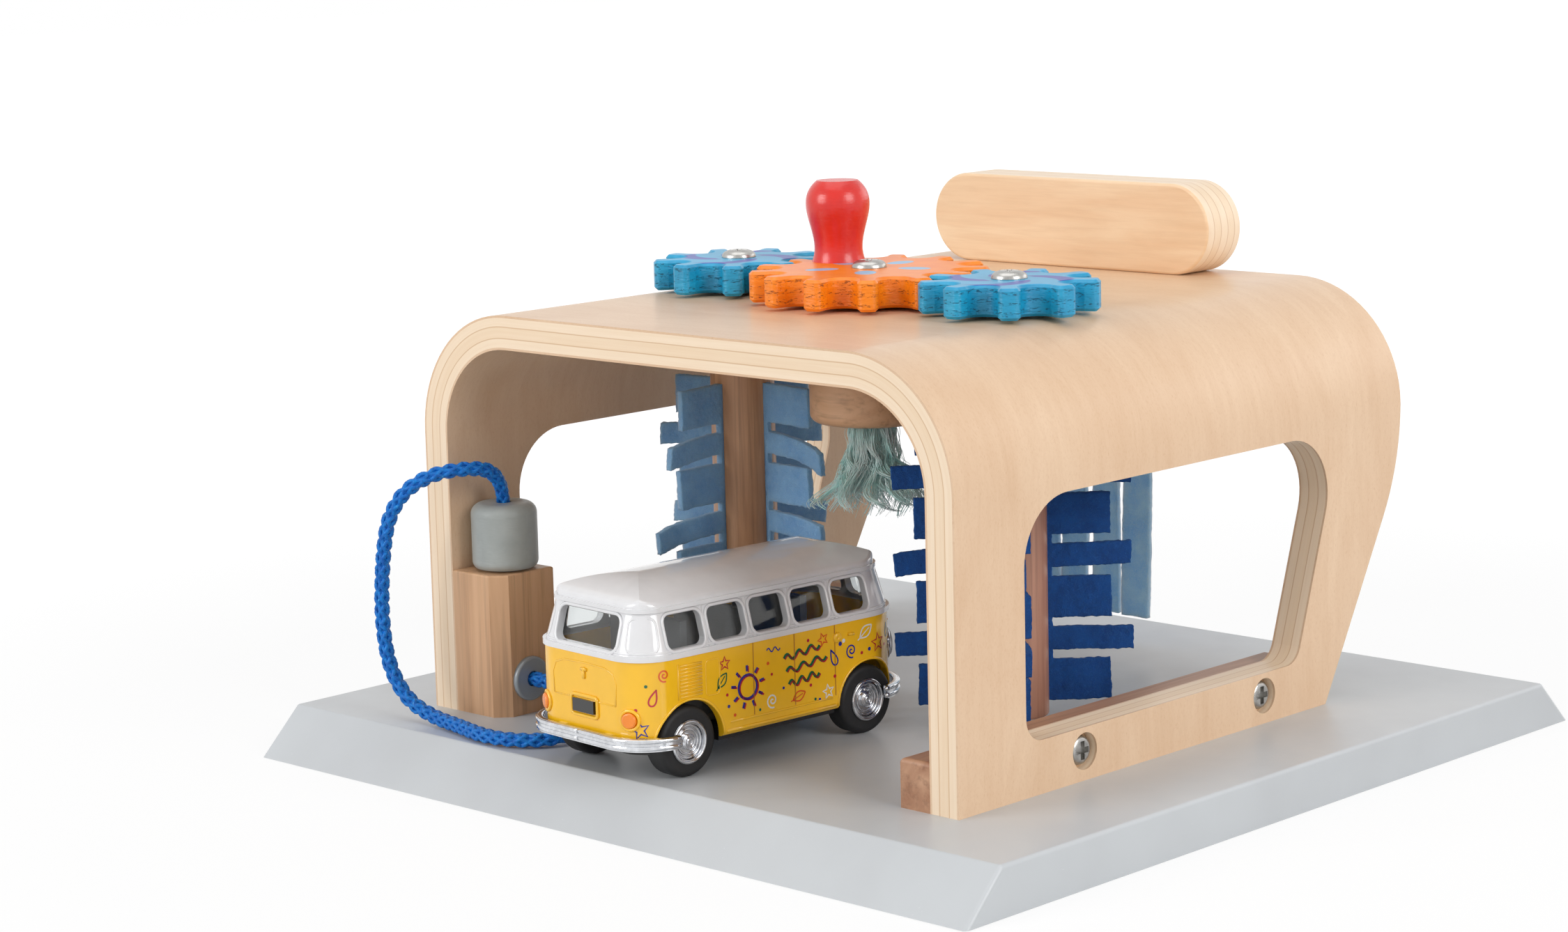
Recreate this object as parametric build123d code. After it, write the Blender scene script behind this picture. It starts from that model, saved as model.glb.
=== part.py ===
# Toy car wash: a bent plywood tunnel on a ramped board, with hand-cranked gears that
# turn two felt brushes and a mop, a spray nozzle on a rope, a drying curtain, and a
# small toy minibus that rolls up to the brushes.
# Millimetres. X runs across the lane, Y runs along it with the entrance at -Y, and Z is up.
# The origin is the centre of the board's underside.

from build123d import *
import math
import os

os.makedirs("parts", exist_ok=True)

# Board
board_width = 168.0
board_length = 167.0
board_thickness = 8.3
ramp_run = 8.5
board_edge_round = 0.7

# Tunnel arch, one sheet of bent plywood
arch_width = 125.0
arch_height = 72.5
ply_thickness = 6.0
bend_radius = 22.0
arch_front_y = -60.0
roof_rear_y = 61.5
wall_rear_y = 38.5
wall_rear_lean_height = 40.3
wall_rear_blend = 40.0
arch_edge_round = 0.5

# Window in each wall
window_front_y = -43.4
window_rear_low_y = 30.0
window_rear_lean_share = 0.335
window_sill_height = 8.9
window_head_height = 48.3
window_front_top_radius = 11.0
window_rear_top_radius = 10.5
window_low_radius = 4.0

# Rails inside the walls
rail_width = 6.2
rail_height = 8.2
rail_rear_gap = 1.5
rail_edge_round = 0.8

# Screws and the clearances round them
screw_shank_radius = 1.25
screw_clearance = 0.05
glue_gap = 0.03
overrun = 5.0
arch_screw_head_radius = 2.5
arch_screw_head_height = 1.5
arch_screw_recess_radius = 3.1
arch_screw_recess_depth = 2.0
arch_screw_length = 9.0
arch_screw_height = 4.9
arch_screw_front_y = -28.7
arch_screw_rear_y = 20.4
board_screw_head_radius = 2.9
board_screw_head_height = 1.8
board_screw_sink = 0.4
board_screw_length = 13.0
board_screw_front_y = -38.0
board_screw_rear_y = 30.0
block_screw_y = -49.6
drive_arm_share = 0.62
drive_slot_share = 0.2
drive_depth_share = 0.55
dome_round_share = 0.6

# Nozzle block with its socket and the rope plug
block_width = 12.0
block_depth = 13.2
block_height = 25.7
block_chamfer = 2.5
block_edge_round = 0.4
socket_inset = 6.4
socket_front_inset = 7.0
nozzle_pin_radius = 2.5
socket_clearance = 0.2
nozzle_pin_length = 16.5
socket_floor_gap = 0.5
plug_height = 6.4
plug_front_inset = 6.8
plug_head_radius = 4.0
plug_head_proud = 0.9
plug_rim_round = 0.5
plug_stem_radius = 2.4
plug_stem_length = 2.2
rope_radius = 1.35
rope_clearance = 0.05
rope_seat_depth = 1.5

# Nozzle
nozzle_body_radius = 5.9
nozzle_body_length = 12.0
nozzle_shoulder_round = 1.6
nozzle_tail_round = 2.0
nozzle_seat_gap = 0.05
nozzle_scoop_radius = 4.6
nozzle_scoop_depth = 0.8
nozzle_tenon_radius = 1.8
nozzle_tenon_length = 5.0

# Sign block, curtain batten and curtain
sign_length = 66.0
sign_height = 16.8
sign_thickness = 10.0
sign_centre_x = -4.0
sign_front_y = 49.5
sign_edge_round = 0.6
sign_screw_spacing = 38.0
sign_screw_length = 17.0
batten_length = 46.0
batten_depth = 8.0
batten_height = 6.5
batten_edge_round = 0.6
curtain_strip_count = 4
curtain_strip_width = 6.0
curtain_strip_pitch = 7.6
curtain_centre_x = -3.2
curtain_thickness = 1.2
curtain_low_height = 6.2
curtain_header_height = 5.0
curtain_tuck = 4.0

# Gears, all cut from plywood
gear_centre_distance = 32.0
gear_row_y = -10.0
gear_thickness = 5.4
gear_edge_round = 0.5
washer_thickness = 0.5
washer_radius = 6.0
washer_bore_clearance = 0.1
running_gap = 0.1
spigot_radius = 3.5
bearing_clearance = 0.08
spigot_depth_in_gear = 3.4
gear_screw_head_radius = 3.1
gear_screw_head_height = 1.4
gear_screw_length = 12.0
drive_teeth = 13
drive_outer_radius = 21.1
drive_root_radius = 15.8
brush_teeth = 9
brush_outer_radius = 15.5
brush_root_radius = 10.2
valley_radius = 2.7
tooth_tip_width = 3.3
tooth_corner_round = 1.1

# Crank knob
knob_radius = 13.0
knob_angle = 157.0
knob_height = 14.4
knob_foot_radius = 4.8
knob_neck_radius = 4.5
knob_head_radius = 5.7
knob_crown_radius = 3.7
knob_neck_share = 0.3
knob_head_share = 0.74
knob_screw_length = 12.0

# Brush posts and felt combs
post_radius = 5.85
post_low_gap = 3.0
post_roof_gap = 0.4
post_edge_round = 0.5
comb_count = 4
comb_thickness = 1.2
comb_inner_radius = 3.2
comb_slot_clearance = 0.05
comb_spine_radius = 7.5
comb_wide_reach = 16.8
comb_narrow_reach = 20.3
comb_wide_count = 4
comb_low_height = 5.3
comb_top_gap = 10.2
left_comb_angle = 0.0
right_comb_angle = 48.0

# Mop under the crank gear
drum_radius = 11.0
drum_thickness = 14.7
drum_edge_round = 1.6
mop_tuft_radius = 3.0
mop_tuft_depth = 6.0
mop_bus_gap = 1.95
mop_bulge_radius = 4.6
mop_waist_radius = 3.9
mop_hem_radius = 12.2

# Minibus
bus_place_x = -2.0
bus_place_y = -46.5
bus_heading = -4.0
bus_length = 61.0
bus_width = 29.0
bus_height = 32.6
bus_wall = 1.3
bus_corner_radius = 6.5
bus_nose_radius = 9.5
bus_ride_gap = 0.05
bus_belt_height = 20.6
bus_floor_height = 5.6
bus_sill_round = 1.0
bus_front_overhang = 10.0
bus_rear_overhang = 10.5
bus_roof_inset = 2.3
bus_gutter_height = 28.6
bus_gutter_proud = 0.45
bus_gutter_thickness = 0.7
bus_crown_drop = 3.0
bus_crown_round = 1.0
bus_end_run = 10.0
bus_end_drop = 3.0
bus_ceiling_height = 29.2
bus_belt_lip = 0.35
bus_belt_lip_height = 0.9
wheel_radius = 6.0
wheel_width = 4.4
wheel_arch_gap = 1.1
wheel_track_inset = 0.7
tyre_round = 0.9
hub_radius = 3.7
hub_proud = 0.25
hub_depth = 3.0
hub_rim = 0.7
hub_dish = 0.6
hub_cap_radius = 1.4
axle_radius = 0.9
axle_clearance = 0.08
side_window_count = 5
side_window_width = 8.0
side_window_pitch = 9.3
side_window_centre_y = -1.6
window_low = 21.9
window_high = 27.6
window_corner_radius = 1.3
rear_window_width = 15.5
screen_width = 18.4
screen_post_width = 1.2
glazing_thickness = 0.6
glazing_gap = 0.1
glazing_margin = 0.7
chassis_thickness = 2.4
chassis_inset = 1.4
wheel_side_gap = 0.3
seat_row_count = 3
seat_width = 17.6
seat_floor_thickness = 1.2
seat_pitch = 13.5
seat_rear_inset = 12.0
seat_depth = 4.6
seat_back_thickness = 1.5
seat_back_height = 25.0
seat_cushion_height = 14.5
bumper_height = 2.2
bumper_thickness = 1.1
bumper_low = 6.0
bumper_wrap = 7.0
bumper_stand_off = 0.7
bumper_edge_round = 0.35
bumper_lug_spacing = 12.0
bumper_lug_width = 2.0
lamp_radius = 1.3
lamp_proud = 0.7
lamp_height = 10.9
lamp_spacing = 21.5
headlamp_radius = 2.5
headlamp_height = 14.0
headlamp_spacing = 18.0
plate_width = 5.4
plate_height = 2.2
plate_thickness = 0.5
plate_centre_height = 11.8

# Levels and places that follow from the sizes above
board_top = board_thickness
roof_under = board_top + arch_height - ply_thickness
roof_top = board_top + arch_height
wall_outer_x = arch_width / 2
wall_inner_x = wall_outer_x - ply_thickness
gear_under = roof_top + washer_thickness + running_gap
gear_top = gear_under + gear_thickness
spigot_top = gear_under + spigot_depth_in_gear
post_top = roof_under - post_roof_gap
shank_hole_radius = screw_shank_radius + screw_clearance
batten_under = roof_under - batten_height
sign_centre_y = sign_front_y + sign_thickness / 2
valleys_per_quarter = drive_teeth // 4
valley_offset = 90.0 - valleys_per_quarter * 360.0 / drive_teeth
brush_mesh_angle = valley_offset * drive_teeth / brush_teeth


def save(shape, node):
    """Write one sub-part under its node name."""
    export_step(shape, "parts/" + node + ".step")


def upright(radius, low, high, x=0.0, y=0.0):
    """A vertical cylinder between two levels."""
    body = Cylinder(radius, high - low, align=(Align.CENTER, Align.CENTER, Align.MIN))
    return Pos(x, y, low) * body


def ring(count, start_angle, shape):
    """The shape repeated evenly round the Z axis."""
    step = 360.0 / count
    return [Rot(0, 0, start_angle + step * index) * shape for index in range(count)]


def cross_recess(head_radius, head_height):
    """The cross-shaped drive recess of a screw whose head ends at Z zero."""
    arm = 2 * head_radius * drive_arm_share
    slot = 2 * head_radius * drive_slot_share
    depth = head_height * drive_depth_share
    bar = Box(arm, slot, 2 * depth)
    return bar + Rot(0, 0, 90) * bar


def pan_screw(head_radius, head_height, length):
    """A domed screw along -Z whose head sits on Z zero."""
    dome = Cylinder(head_radius, head_height, align=(Align.CENTER, Align.CENTER, Align.MIN))
    rim = dome.edges().group_by(Axis.Z)[-1]
    dome = fillet(rim, head_height * dome_round_share)
    shank = Cylinder(screw_shank_radius, length, align=(Align.CENTER, Align.CENTER, Align.MAX))
    drive = Pos(0, 0, head_height) * cross_recess(head_radius, head_height)
    return dome + shank - drive


def flat_screw(head_radius, head_height, length):
    """A countersunk screw along +Z whose flat head faces -Z at Z zero."""
    low = (Align.CENTER, Align.CENTER, Align.MIN)
    head = Cone(head_radius, screw_shank_radius, head_height, align=low)
    shank = Cylinder(screw_shank_radius, length, align=low)
    return head + shank - cross_recess(head_radius, head_height)


def flat_screw_hole(head_radius, head_height, length):
    """The clearance for a countersunk screw, open below its head."""
    low = (Align.CENTER, Align.CENTER, Align.MIN)
    wide = head_radius + screw_clearance
    head = Cone(wide, shank_hole_radius, head_height, align=low)
    mouth = Cylinder(wide, overrun, align=(Align.CENTER, Align.CENTER, Align.MAX))
    shank = Cylinder(shank_hole_radius, length + screw_clearance, align=low)
    return head + mouth + shank


# Places of the screws, as (x, y) from above
rail_centre_x = wall_inner_x - rail_width / 2
block_centre_x = -wall_inner_x + block_width / 2
board_screw_places = [
    (-rail_centre_x, board_screw_rear_y),
    (rail_centre_x, board_screw_front_y),
    (rail_centre_x, board_screw_rear_y),
    (-rail_centre_x, block_screw_y),
]
arch_screw_places = [
    (side, y) for side in (-1, 1) for y in (arch_screw_front_y, arch_screw_rear_y)
]
sign_screw_places = [
    (sign_centre_x - sign_screw_spacing / 2, sign_centre_y),
    (sign_centre_x + sign_screw_spacing / 2, sign_centre_y),
]


# Board
def make_board():
    """The board, with a long ramp at each end and countersunk holes below."""
    half_length = board_length / 2
    flat_half = half_length - ramp_run
    profile = Polygon(
        (-half_length, 0), (half_length, 0), (flat_half, board_top), (-flat_half, board_top),
        align=None,
    )
    board = extrude(Plane.YZ * profile, amount=board_width / 2, both=True)
    upper = board.edges().filter_by(lambda edge: edge.center().Z > board_edge_round)
    board = fillet(upper, board_edge_round)
    for x, y in board_screw_places:
        board -= Pos(x, y, board_screw_sink) * flat_screw_hole(
            board_screw_head_radius, board_screw_head_height, board_screw_length
        )
    return board


def make_board_screws():
    """Countersunk screws up through the board into the rails and the block."""
    screw = flat_screw(board_screw_head_radius, board_screw_head_height, board_screw_length)
    return Compound(children=[
        Pos(x, y, board_screw_sink) * screw for x, y in board_screw_places
    ])


# Tunnel arch
def wall_profile():
    """The arch seen from the side, with its leaning rear edge."""
    lean_z = board_top + wall_rear_lean_height
    profile = Polygon(
        (arch_front_y, board_top), (wall_rear_y, board_top), (roof_rear_y, lean_z),
        (roof_rear_y, roof_top), (arch_front_y, roof_top), align=None,
    )
    knee = profile.vertices().sort_by_distance((roof_rear_y, lean_z, 0))[0]
    return fillet(knee, wall_rear_blend)


def window_profile():
    """The window seen from the side, its rear edge leaning outwards."""
    sill = board_top + window_sill_height
    head = board_top + window_head_height
    rear_high_y = window_rear_low_y + (head - sill) * window_rear_lean_share
    low_front = (window_front_y, sill, 0)
    low_rear = (window_rear_low_y, sill, 0)
    high_rear = (rear_high_y, head, 0)
    high_front = (window_front_y, head, 0)
    face = Polygon(low_front[:2], low_rear[:2], high_rear[:2], high_front[:2], align=None)
    rounds = [
        (low_front, window_low_radius), (low_rear, window_low_radius),
        (high_rear, window_rear_top_radius), (high_front, window_front_top_radius),
    ]
    for corner, radius in rounds:
        nearest = face.vertices().sort_by_distance(corner)[0]
        face = fillet(nearest, radius)
    return face


def arch_screw_place(side, y):
    """The seat of a wall screw, its -Z axis pointing into the wall."""
    x = side * (wall_outer_x - arch_screw_recess_depth)
    return Pos(x, y, board_top + arch_screw_height) * Rot(0, side * 90, 0)


def make_arch():
    """One bent sheet: two walls and a roof, with windows and screw holes."""
    outer = RectangleRounded(arch_width, 2 * arch_height, bend_radius)
    inner = RectangleRounded(
        arch_width - 2 * ply_thickness, 2 * (arch_height - ply_thickness),
        bend_radius - ply_thickness,
    )
    upper_half = Pos(0, arch_height / 2) * Rectangle(arch_width, arch_height)
    section = (outer - inner) & upper_half
    start = Plane.XZ.offset(-roof_rear_y)
    sheet = Pos(0, 0, board_top) * extrude(start * section, amount=roof_rear_y - arch_front_y)
    sheet &= extrude(Plane.YZ * wall_profile(), amount=wall_outer_x + overrun, both=True)
    sheet -= extrude(Plane.YZ * window_profile(), amount=wall_outer_x + overrun, both=True)
    for side, y in arch_screw_places:
        sheet -= arch_screw_place(side, y) * arch_screw_clearance()
    for x in (-gear_centre_distance, 0, gear_centre_distance):
        hole_radius = spigot_radius + bearing_clearance
        sheet -= upright(hole_radius, roof_under - overrun, roof_top + overrun, x, gear_row_y)
    for x, y in sign_screw_places:
        sheet -= upright(shank_hole_radius, roof_under - overrun, roof_top + overrun, x, y)
    return sheet


def arch_screw_clearance():
    """The recess and shank hole of a wall screw, along -Z from its seat."""
    recess = Cylinder(
        arch_screw_recess_radius, arch_screw_recess_depth + overrun,
        align=(Align.CENTER, Align.CENTER, Align.MIN),
    )
    shank = Cylinder(
        shank_hole_radius, arch_screw_length + screw_clearance,
        align=(Align.CENTER, Align.CENTER, Align.MAX),
    )
    return recess + shank


def make_arch_screws():
    """Two domed screws through each wall."""
    screw = pan_screw(arch_screw_head_radius, arch_screw_head_height, arch_screw_length)
    return Compound(children=[
        arch_screw_place(side, y) * screw for side, y in arch_screw_places
    ])


# Rails and nozzle block
def make_rail(side):
    """The cleat inside one wall, screwed to the wall and to the board."""
    front = arch_front_y if side > 0 else arch_front_y + block_depth + glue_gap
    rear = wall_rear_y - rail_rear_gap
    rail = Pos(side * rail_centre_x, (front + rear) / 2, board_top) * Box(
        rail_width, rear - front, rail_height,
        align=(Align.CENTER, Align.CENTER, Align.MIN),
    )
    inner_top = rail.edges().filter_by(Axis.Y).group_by(Axis.Z)[-1]
    lane_edge = inner_top.sort_by(Axis.X)[0 if side > 0 else -1]
    rail = fillet([lane_edge] + list(rail.edges().filter_by(Axis.X).group_by(Axis.Z)[-1]),
                  rail_edge_round)
    for x, y in board_screw_places:
        rail -= Pos(x, y, board_screw_sink) * flat_screw_hole(
            board_screw_head_radius, board_screw_head_height, board_screw_length
        )
    for wall_side, y in arch_screw_places:
        rail -= arch_screw_place(wall_side, y) * arch_screw_clearance()
    return rail


block_left_x = -wall_inner_x
block_right_x = block_left_x + block_width
block_top = board_top + block_height
socket_x = block_left_x + socket_inset
socket_y = arch_front_y + socket_front_inset
socket_radius = nozzle_pin_radius + socket_clearance
socket_floor = block_top - nozzle_pin_length - socket_floor_gap
plug_y = arch_front_y + plug_front_inset
plug_z = board_top + plug_height
plug_seat = Pos(block_right_x, plug_y, plug_z) * Rot(0, 90, 0)


def make_block():
    """The holster: an upright block with a socket on top and a side hole."""
    block = Pos(block_left_x, arch_front_y, board_top) * Box(
        block_width, block_depth, block_height, align=(Align.MIN, Align.MIN, Align.MIN)
    )
    uprights = block.edges().filter_by(Axis.Z)
    front_right = uprights.sort_by_distance((block_right_x, arch_front_y, board_top))[0]
    block = chamfer(front_right, block_chamfer)
    block = fillet(block.edges().group_by(Axis.Z)[-1], block_edge_round)
    block -= upright(socket_radius, socket_floor, block_top + overrun, socket_x, socket_y)
    block -= plug_seat * Cylinder(
        plug_stem_radius + glue_gap, 2 * (plug_stem_length + glue_gap)
    )
    block -= Pos(-rail_centre_x, block_screw_y, board_screw_sink) * flat_screw_hole(
        board_screw_head_radius, board_screw_head_height, board_screw_length
    )
    return block


def make_plug():
    """The round gland on the block's lane face that holds the rope's end."""
    head = Cylinder(
        plug_head_radius, plug_head_proud, align=(Align.CENTER, Align.CENTER, Align.MIN)
    )
    head = fillet(head.edges().group_by(Axis.Z)[-1], plug_rim_round)
    stem = Cylinder(
        plug_stem_radius, plug_stem_length, align=(Align.CENTER, Align.CENTER, Align.MAX)
    )
    seat = Pos(0, 0, plug_head_proud) * Cylinder(
        rope_radius + rope_clearance, 2 * rope_seat_depth
    )
    return plug_seat * (head + stem - seat)


# Nozzle, parked with its pin in the socket
nozzle_shoulder = block_top + nozzle_seat_gap
nozzle_tail = nozzle_shoulder + nozzle_body_length


def make_nozzle_body():
    """The turned grip, with a scooped shoulder and a hole for the rope."""
    body = Cylinder(
        nozzle_body_radius, nozzle_body_length, align=(Align.CENTER, Align.CENTER, Align.MIN)
    )
    body = fillet(body.edges().group_by(Axis.Z)[0], nozzle_shoulder_round)
    body = fillet(body.edges().group_by(Axis.Z)[-1], nozzle_tail_round)
    scoop = Torus(nozzle_scoop_radius, nozzle_scoop_depth)
    tenon_hole = Cylinder(
        nozzle_tenon_radius + glue_gap, 2 * (nozzle_tenon_length + glue_gap)
    )
    rope_hole = Pos(0, 0, nozzle_body_length) * Cylinder(
        rope_radius + rope_clearance, 2 * rope_seat_depth
    )
    return Pos(socket_x, socket_y, nozzle_shoulder) * (body - scoop - tenon_hole - rope_hole)


def make_nozzle_pin():
    """The dowel that stands in the socket and is glued in the grip."""
    pin = upright(nozzle_pin_radius, -nozzle_pin_length, 0)
    tip = pin.edges().group_by(Axis.Z)[0]
    pin = fillet(tip, nozzle_scoop_depth / 2)
    tenon = upright(nozzle_tenon_radius, 0, nozzle_tenon_length)
    return Pos(socket_x, socket_y, nozzle_shoulder) * (pin + tenon)


# Rope, from the plug over the board to the nozzle's tail
rope_start_x = block_right_x + plug_head_proud - rope_seat_depth
rope_rest_z = board_top + rope_radius + rope_clearance
rope_route = [
    (rope_start_x, plug_y, plug_z),
    (rope_start_x + 5.2, plug_y, plug_z),
    (rope_start_x + 10.6, plug_y + 0.1, plug_z - 0.2),
    (rope_start_x + 16.2, plug_y - 0.3, plug_z - 1.0),
    (rope_start_x + 21.4, plug_y - 3.2, plug_z - 2.8),
    (rope_start_x + 23.8, plug_y - 9.0, rope_rest_z + 0.7),
    (rope_start_x + 22.4, plug_y - 15.2, rope_rest_z),
    (rope_start_x + 17.6, plug_y - 19.6, rope_rest_z),
    (rope_start_x + 10.6, plug_y - 20.5, rope_rest_z),
    (rope_start_x + 2.8, plug_y - 18.5, rope_rest_z),
    (rope_start_x - 5.4, plug_y - 17.1, rope_rest_z),
    (rope_start_x - 12.2, plug_y - 17.6, rope_rest_z + 2.1),
    (rope_start_x - 16.0, plug_y - 18.4, rope_rest_z + 7.6),
    (rope_start_x - 16.8, plug_y - 19.0, rope_rest_z + 14.8),
    (rope_start_x - 16.4, plug_y - 19.2, rope_rest_z + 22.4),
    (rope_start_x - 15.0, plug_y - 19.4, rope_rest_z + 30.2),
    (socket_x - 8.2, socket_y - 19.6, nozzle_tail - 0.5),
    (socket_x - 5.4, socket_y - 18.0, nozzle_tail + 4.2),
    (socket_x - 2.1, socket_y - 14.4, nozzle_tail + 6.8),
    (socket_x + 0.9, socket_y - 9.4, nozzle_tail + 7.4),
    (socket_x + 1.2, socket_y - 4.2, nozzle_tail + 6.6),
    (socket_x + 0.4, socket_y - 0.9, nozzle_tail + 3.7),
    (socket_x, socket_y, nozzle_tail + 0.4),
    (socket_x, socket_y, nozzle_tail - rope_seat_depth),
]
rope_arc_share = 0.45


def corner_radii(route):
    """The largest tangent arc at each inner corner of a route."""
    points = [Vector(*point) for point in route]
    radii = []
    for before, here, after in zip(points, points[1:], points[2:]):
        turn = (here - before).get_angle(after - here)
        run = min((here - before).length, (after - here).length)
        radii.append(rope_arc_share * run / math.tan(math.radians(turn) / 2))
    return radii


def make_rope():
    """A round rope along straight runs joined by tangent arcs."""
    radii = corner_radii(rope_route)
    path = FilletPolyline(*rope_route, radius=radii)
    start = Plane(origin=path @ 0, z_dir=path % 0)
    rope = sweep(start * Circle(rope_radius), path=path)
    section = math.pi * rope_radius ** 2
    print("rope radii", [round(radius, 1) for radius in radii])
    print("rope length", round(path.length, 1), "volume share",
          round(rope.volume / (section * path.length), 4))
    return rope


# Sign block, batten and curtain at the rear of the roof
def make_sign():
    """The upright sign block with round ends, standing on the roof."""
    face = SlotOverall(sign_length, sign_height)
    place = Plane.XZ.offset(-(sign_front_y + sign_thickness))
    block = extrude(place * face, amount=sign_thickness)
    block = Pos(sign_centre_x, 0, roof_top + sign_height / 2) * block
    rims = block.faces().sort_by(Axis.Y)
    block = fillet(rims[0].edges() + rims[-1].edges(), sign_edge_round)
    for x, y in sign_screw_places:
        hole_top = batten_under + board_screw_sink + sign_screw_length + screw_clearance
        block -= upright(shank_hole_radius, roof_top - overrun, hole_top, x, y)
    return block


def make_sign_screws():
    """Two countersunk screws up through batten and roof into the sign."""
    screw = flat_screw(board_screw_head_radius, board_screw_head_height, sign_screw_length)
    return Compound(children=[
        Pos(x, y, batten_under + board_screw_sink) * screw for x, y in sign_screw_places
    ])


def make_batten():
    """The strip under the roof whose slot holds the curtain."""
    batten = Pos(sign_centre_x, sign_centre_y, batten_under) * Box(
        batten_length, batten_depth, batten_height,
        align=(Align.CENTER, Align.CENTER, Align.MIN),
    )
    batten = fillet(batten.edges().group_by(Axis.Z)[0], batten_edge_round)
    slot_width = curtain_thickness + 2 * glue_gap
    slot_y = curtain_y
    batten -= Pos(curtain_centre_x, slot_y, batten_under) * Box(
        curtain_width + 2 * glue_gap, slot_width, 2 * (curtain_tuck + glue_gap)
    )
    for x, y in sign_screw_places:
        batten -= Pos(x, y, batten_under + board_screw_sink) * flat_screw_hole(
            board_screw_head_radius, board_screw_head_height, sign_screw_length
        )
    return batten


curtain_width = (curtain_strip_count - 1) * curtain_strip_pitch + curtain_strip_width
curtain_y = sign_centre_y


def make_curtain():
    """A felt sheet cut into strips that hang from the batten."""
    low = board_top + curtain_low_height
    header_low = batten_under - curtain_header_height
    header_top = batten_under + curtain_tuck
    curtain = Pos(curtain_centre_x, curtain_y, header_low) * Box(
        curtain_width, curtain_thickness, header_top - header_low,
        align=(Align.CENTER, Align.CENTER, Align.MIN),
    )
    first_x = curtain_centre_x - (curtain_strip_count - 1) * curtain_strip_pitch / 2
    for index in range(curtain_strip_count):
        x = first_x + index * curtain_strip_pitch
        curtain += Pos(x, curtain_y, low) * Box(
            curtain_strip_width, curtain_thickness, header_low - low,
            align=(Align.CENTER, Align.CENTER, Align.MIN),
        )
    return curtain


# Gears
def gear_outline(teeth, outer_radius, root_radius):
    """A wavy toy gear: round valleys, narrow tips, a tooth along +X."""
    pitch = 360.0 / teeth
    pitch_chord = 2 * outer_radius * math.sin(math.radians(pitch / 2))
    mouth = (pitch_chord - tooth_tip_width) / 2
    centre = root_radius + valley_radius
    flare = (mouth - valley_radius) / (outer_radius - centre)
    far = outer_radius + overrun
    wide = valley_radius + flare * (far - centre)
    wedge = Polygon(
        (centre, -valley_radius), (far, -wide), (far, wide), (centre, valley_radius),
        align=None,
    )
    valley = wedge + Pos(centre, 0) * Circle(valley_radius)
    face = Circle(outer_radius)
    for index in range(teeth):
        face -= Rot(0, 0, pitch * (index + 0.5)) * valley
    tips = face.vertices().filter_by(
        lambda vertex: math.hypot(vertex.X, vertex.Y) > outer_radius - glue_gap
    )
    return fillet(tips, tooth_corner_round)


def make_gear(teeth, outer_radius, root_radius, x, tooth_angle):
    """A plywood gear over its washer, bored for the spigot and the screw."""
    face = Rot(0, 0, tooth_angle) * gear_outline(teeth, outer_radius, root_radius)
    gear = extrude(face, amount=gear_thickness)
    rims = gear.edges().group_by(Axis.Z)
    gear = chamfer(list(rims[0]) + list(rims[-1]), gear_edge_round)
    gear -= upright(spigot_radius + glue_gap, -overrun, spigot_depth_in_gear + glue_gap)
    gear -= upright(shank_hole_radius, 0, gear_thickness + overrun)
    return Pos(x, gear_row_y, gear_under) * gear


def make_gear_screw(x):
    """The domed screw that clamps a gear on its spigot."""
    return Pos(x, gear_row_y, gear_top) * pan_screw(
        gear_screw_head_radius, gear_screw_head_height, gear_screw_length
    )


def make_washers():
    """Three washers that lie on the roof under the gears."""
    bore = spigot_radius + bearing_clearance + washer_bore_clearance
    washer = upright(washer_radius, 0, washer_thickness) - upright(bore, -overrun, overrun)
    places = (-gear_centre_distance, 0, gear_centre_distance)
    return Compound(children=[Pos(x, gear_row_y, roof_top) * washer for x in places])


def shank_bore(x):
    """The hole for a gear's screw, down from the top of the spigot."""
    low = gear_top - gear_screw_length - screw_clearance
    return upright(shank_hole_radius, low, spigot_top + overrun, x, gear_row_y)


# Crank knob on the middle gear
knob_x = knob_radius * math.cos(math.radians(knob_angle))
knob_y = gear_row_y + knob_radius * math.sin(math.radians(knob_angle))


def make_knob():
    """A turned knob: straight foot, slight neck, wide head and flat crown."""
    foot_z = gear_top
    neck_z = foot_z + knob_height * knob_neck_share
    head_z = foot_z + knob_height * knob_head_share
    crown_z = foot_z + knob_height
    profile = make_face(Curve() + [
        Polyline((0, foot_z), (knob_foot_radius, foot_z)),
        Spline((knob_foot_radius, foot_z), (knob_neck_radius, neck_z),
               (knob_head_radius, head_z), (knob_crown_radius, crown_z)),
        Polyline((knob_crown_radius, crown_z), (0, crown_z), (0, foot_z)),
    ])
    knob = revolve(Plane.XZ * profile, Axis.Z)
    hole = upright(
        shank_hole_radius, foot_z - overrun, gear_under + knob_screw_length + screw_clearance
    )
    return Pos(knob_x, knob_y, 0) * (knob - hole)


def make_knob_screw():
    """The countersunk screw up through the gear into the knob."""
    return Pos(knob_x, knob_y, gear_under) * flat_screw(
        board_screw_head_radius, board_screw_head_height, knob_screw_length
    )


def make_drive_gear():
    """The crank gear, countersunk below for the knob's screw."""
    valley_angle = -90.0 + 180.0 / drive_teeth
    gear = make_gear(drive_teeth, drive_outer_radius, drive_root_radius, 0, valley_angle)
    return gear - Pos(knob_x, knob_y, gear_under) * flat_screw_hole(
        board_screw_head_radius, board_screw_head_height, knob_screw_length
    )


# Brushes: a post with four felt combs in radial slots
post_low = board_top + post_low_gap
comb_low = board_top + comb_low_height
comb_high = post_top - comb_top_gap
comb_wide_share = 0.514
comb_narrow_share = 0.586
comb_pitch = (comb_high - comb_low) / (comb_wide_count - 1 + comb_wide_share)
comb_wide_height = comb_pitch * comb_wide_share
comb_narrow_height = (comb_pitch - comb_wide_height) * comb_narrow_share
comb_gap_height = (comb_pitch - comb_wide_height - comb_narrow_height) / 2


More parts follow.
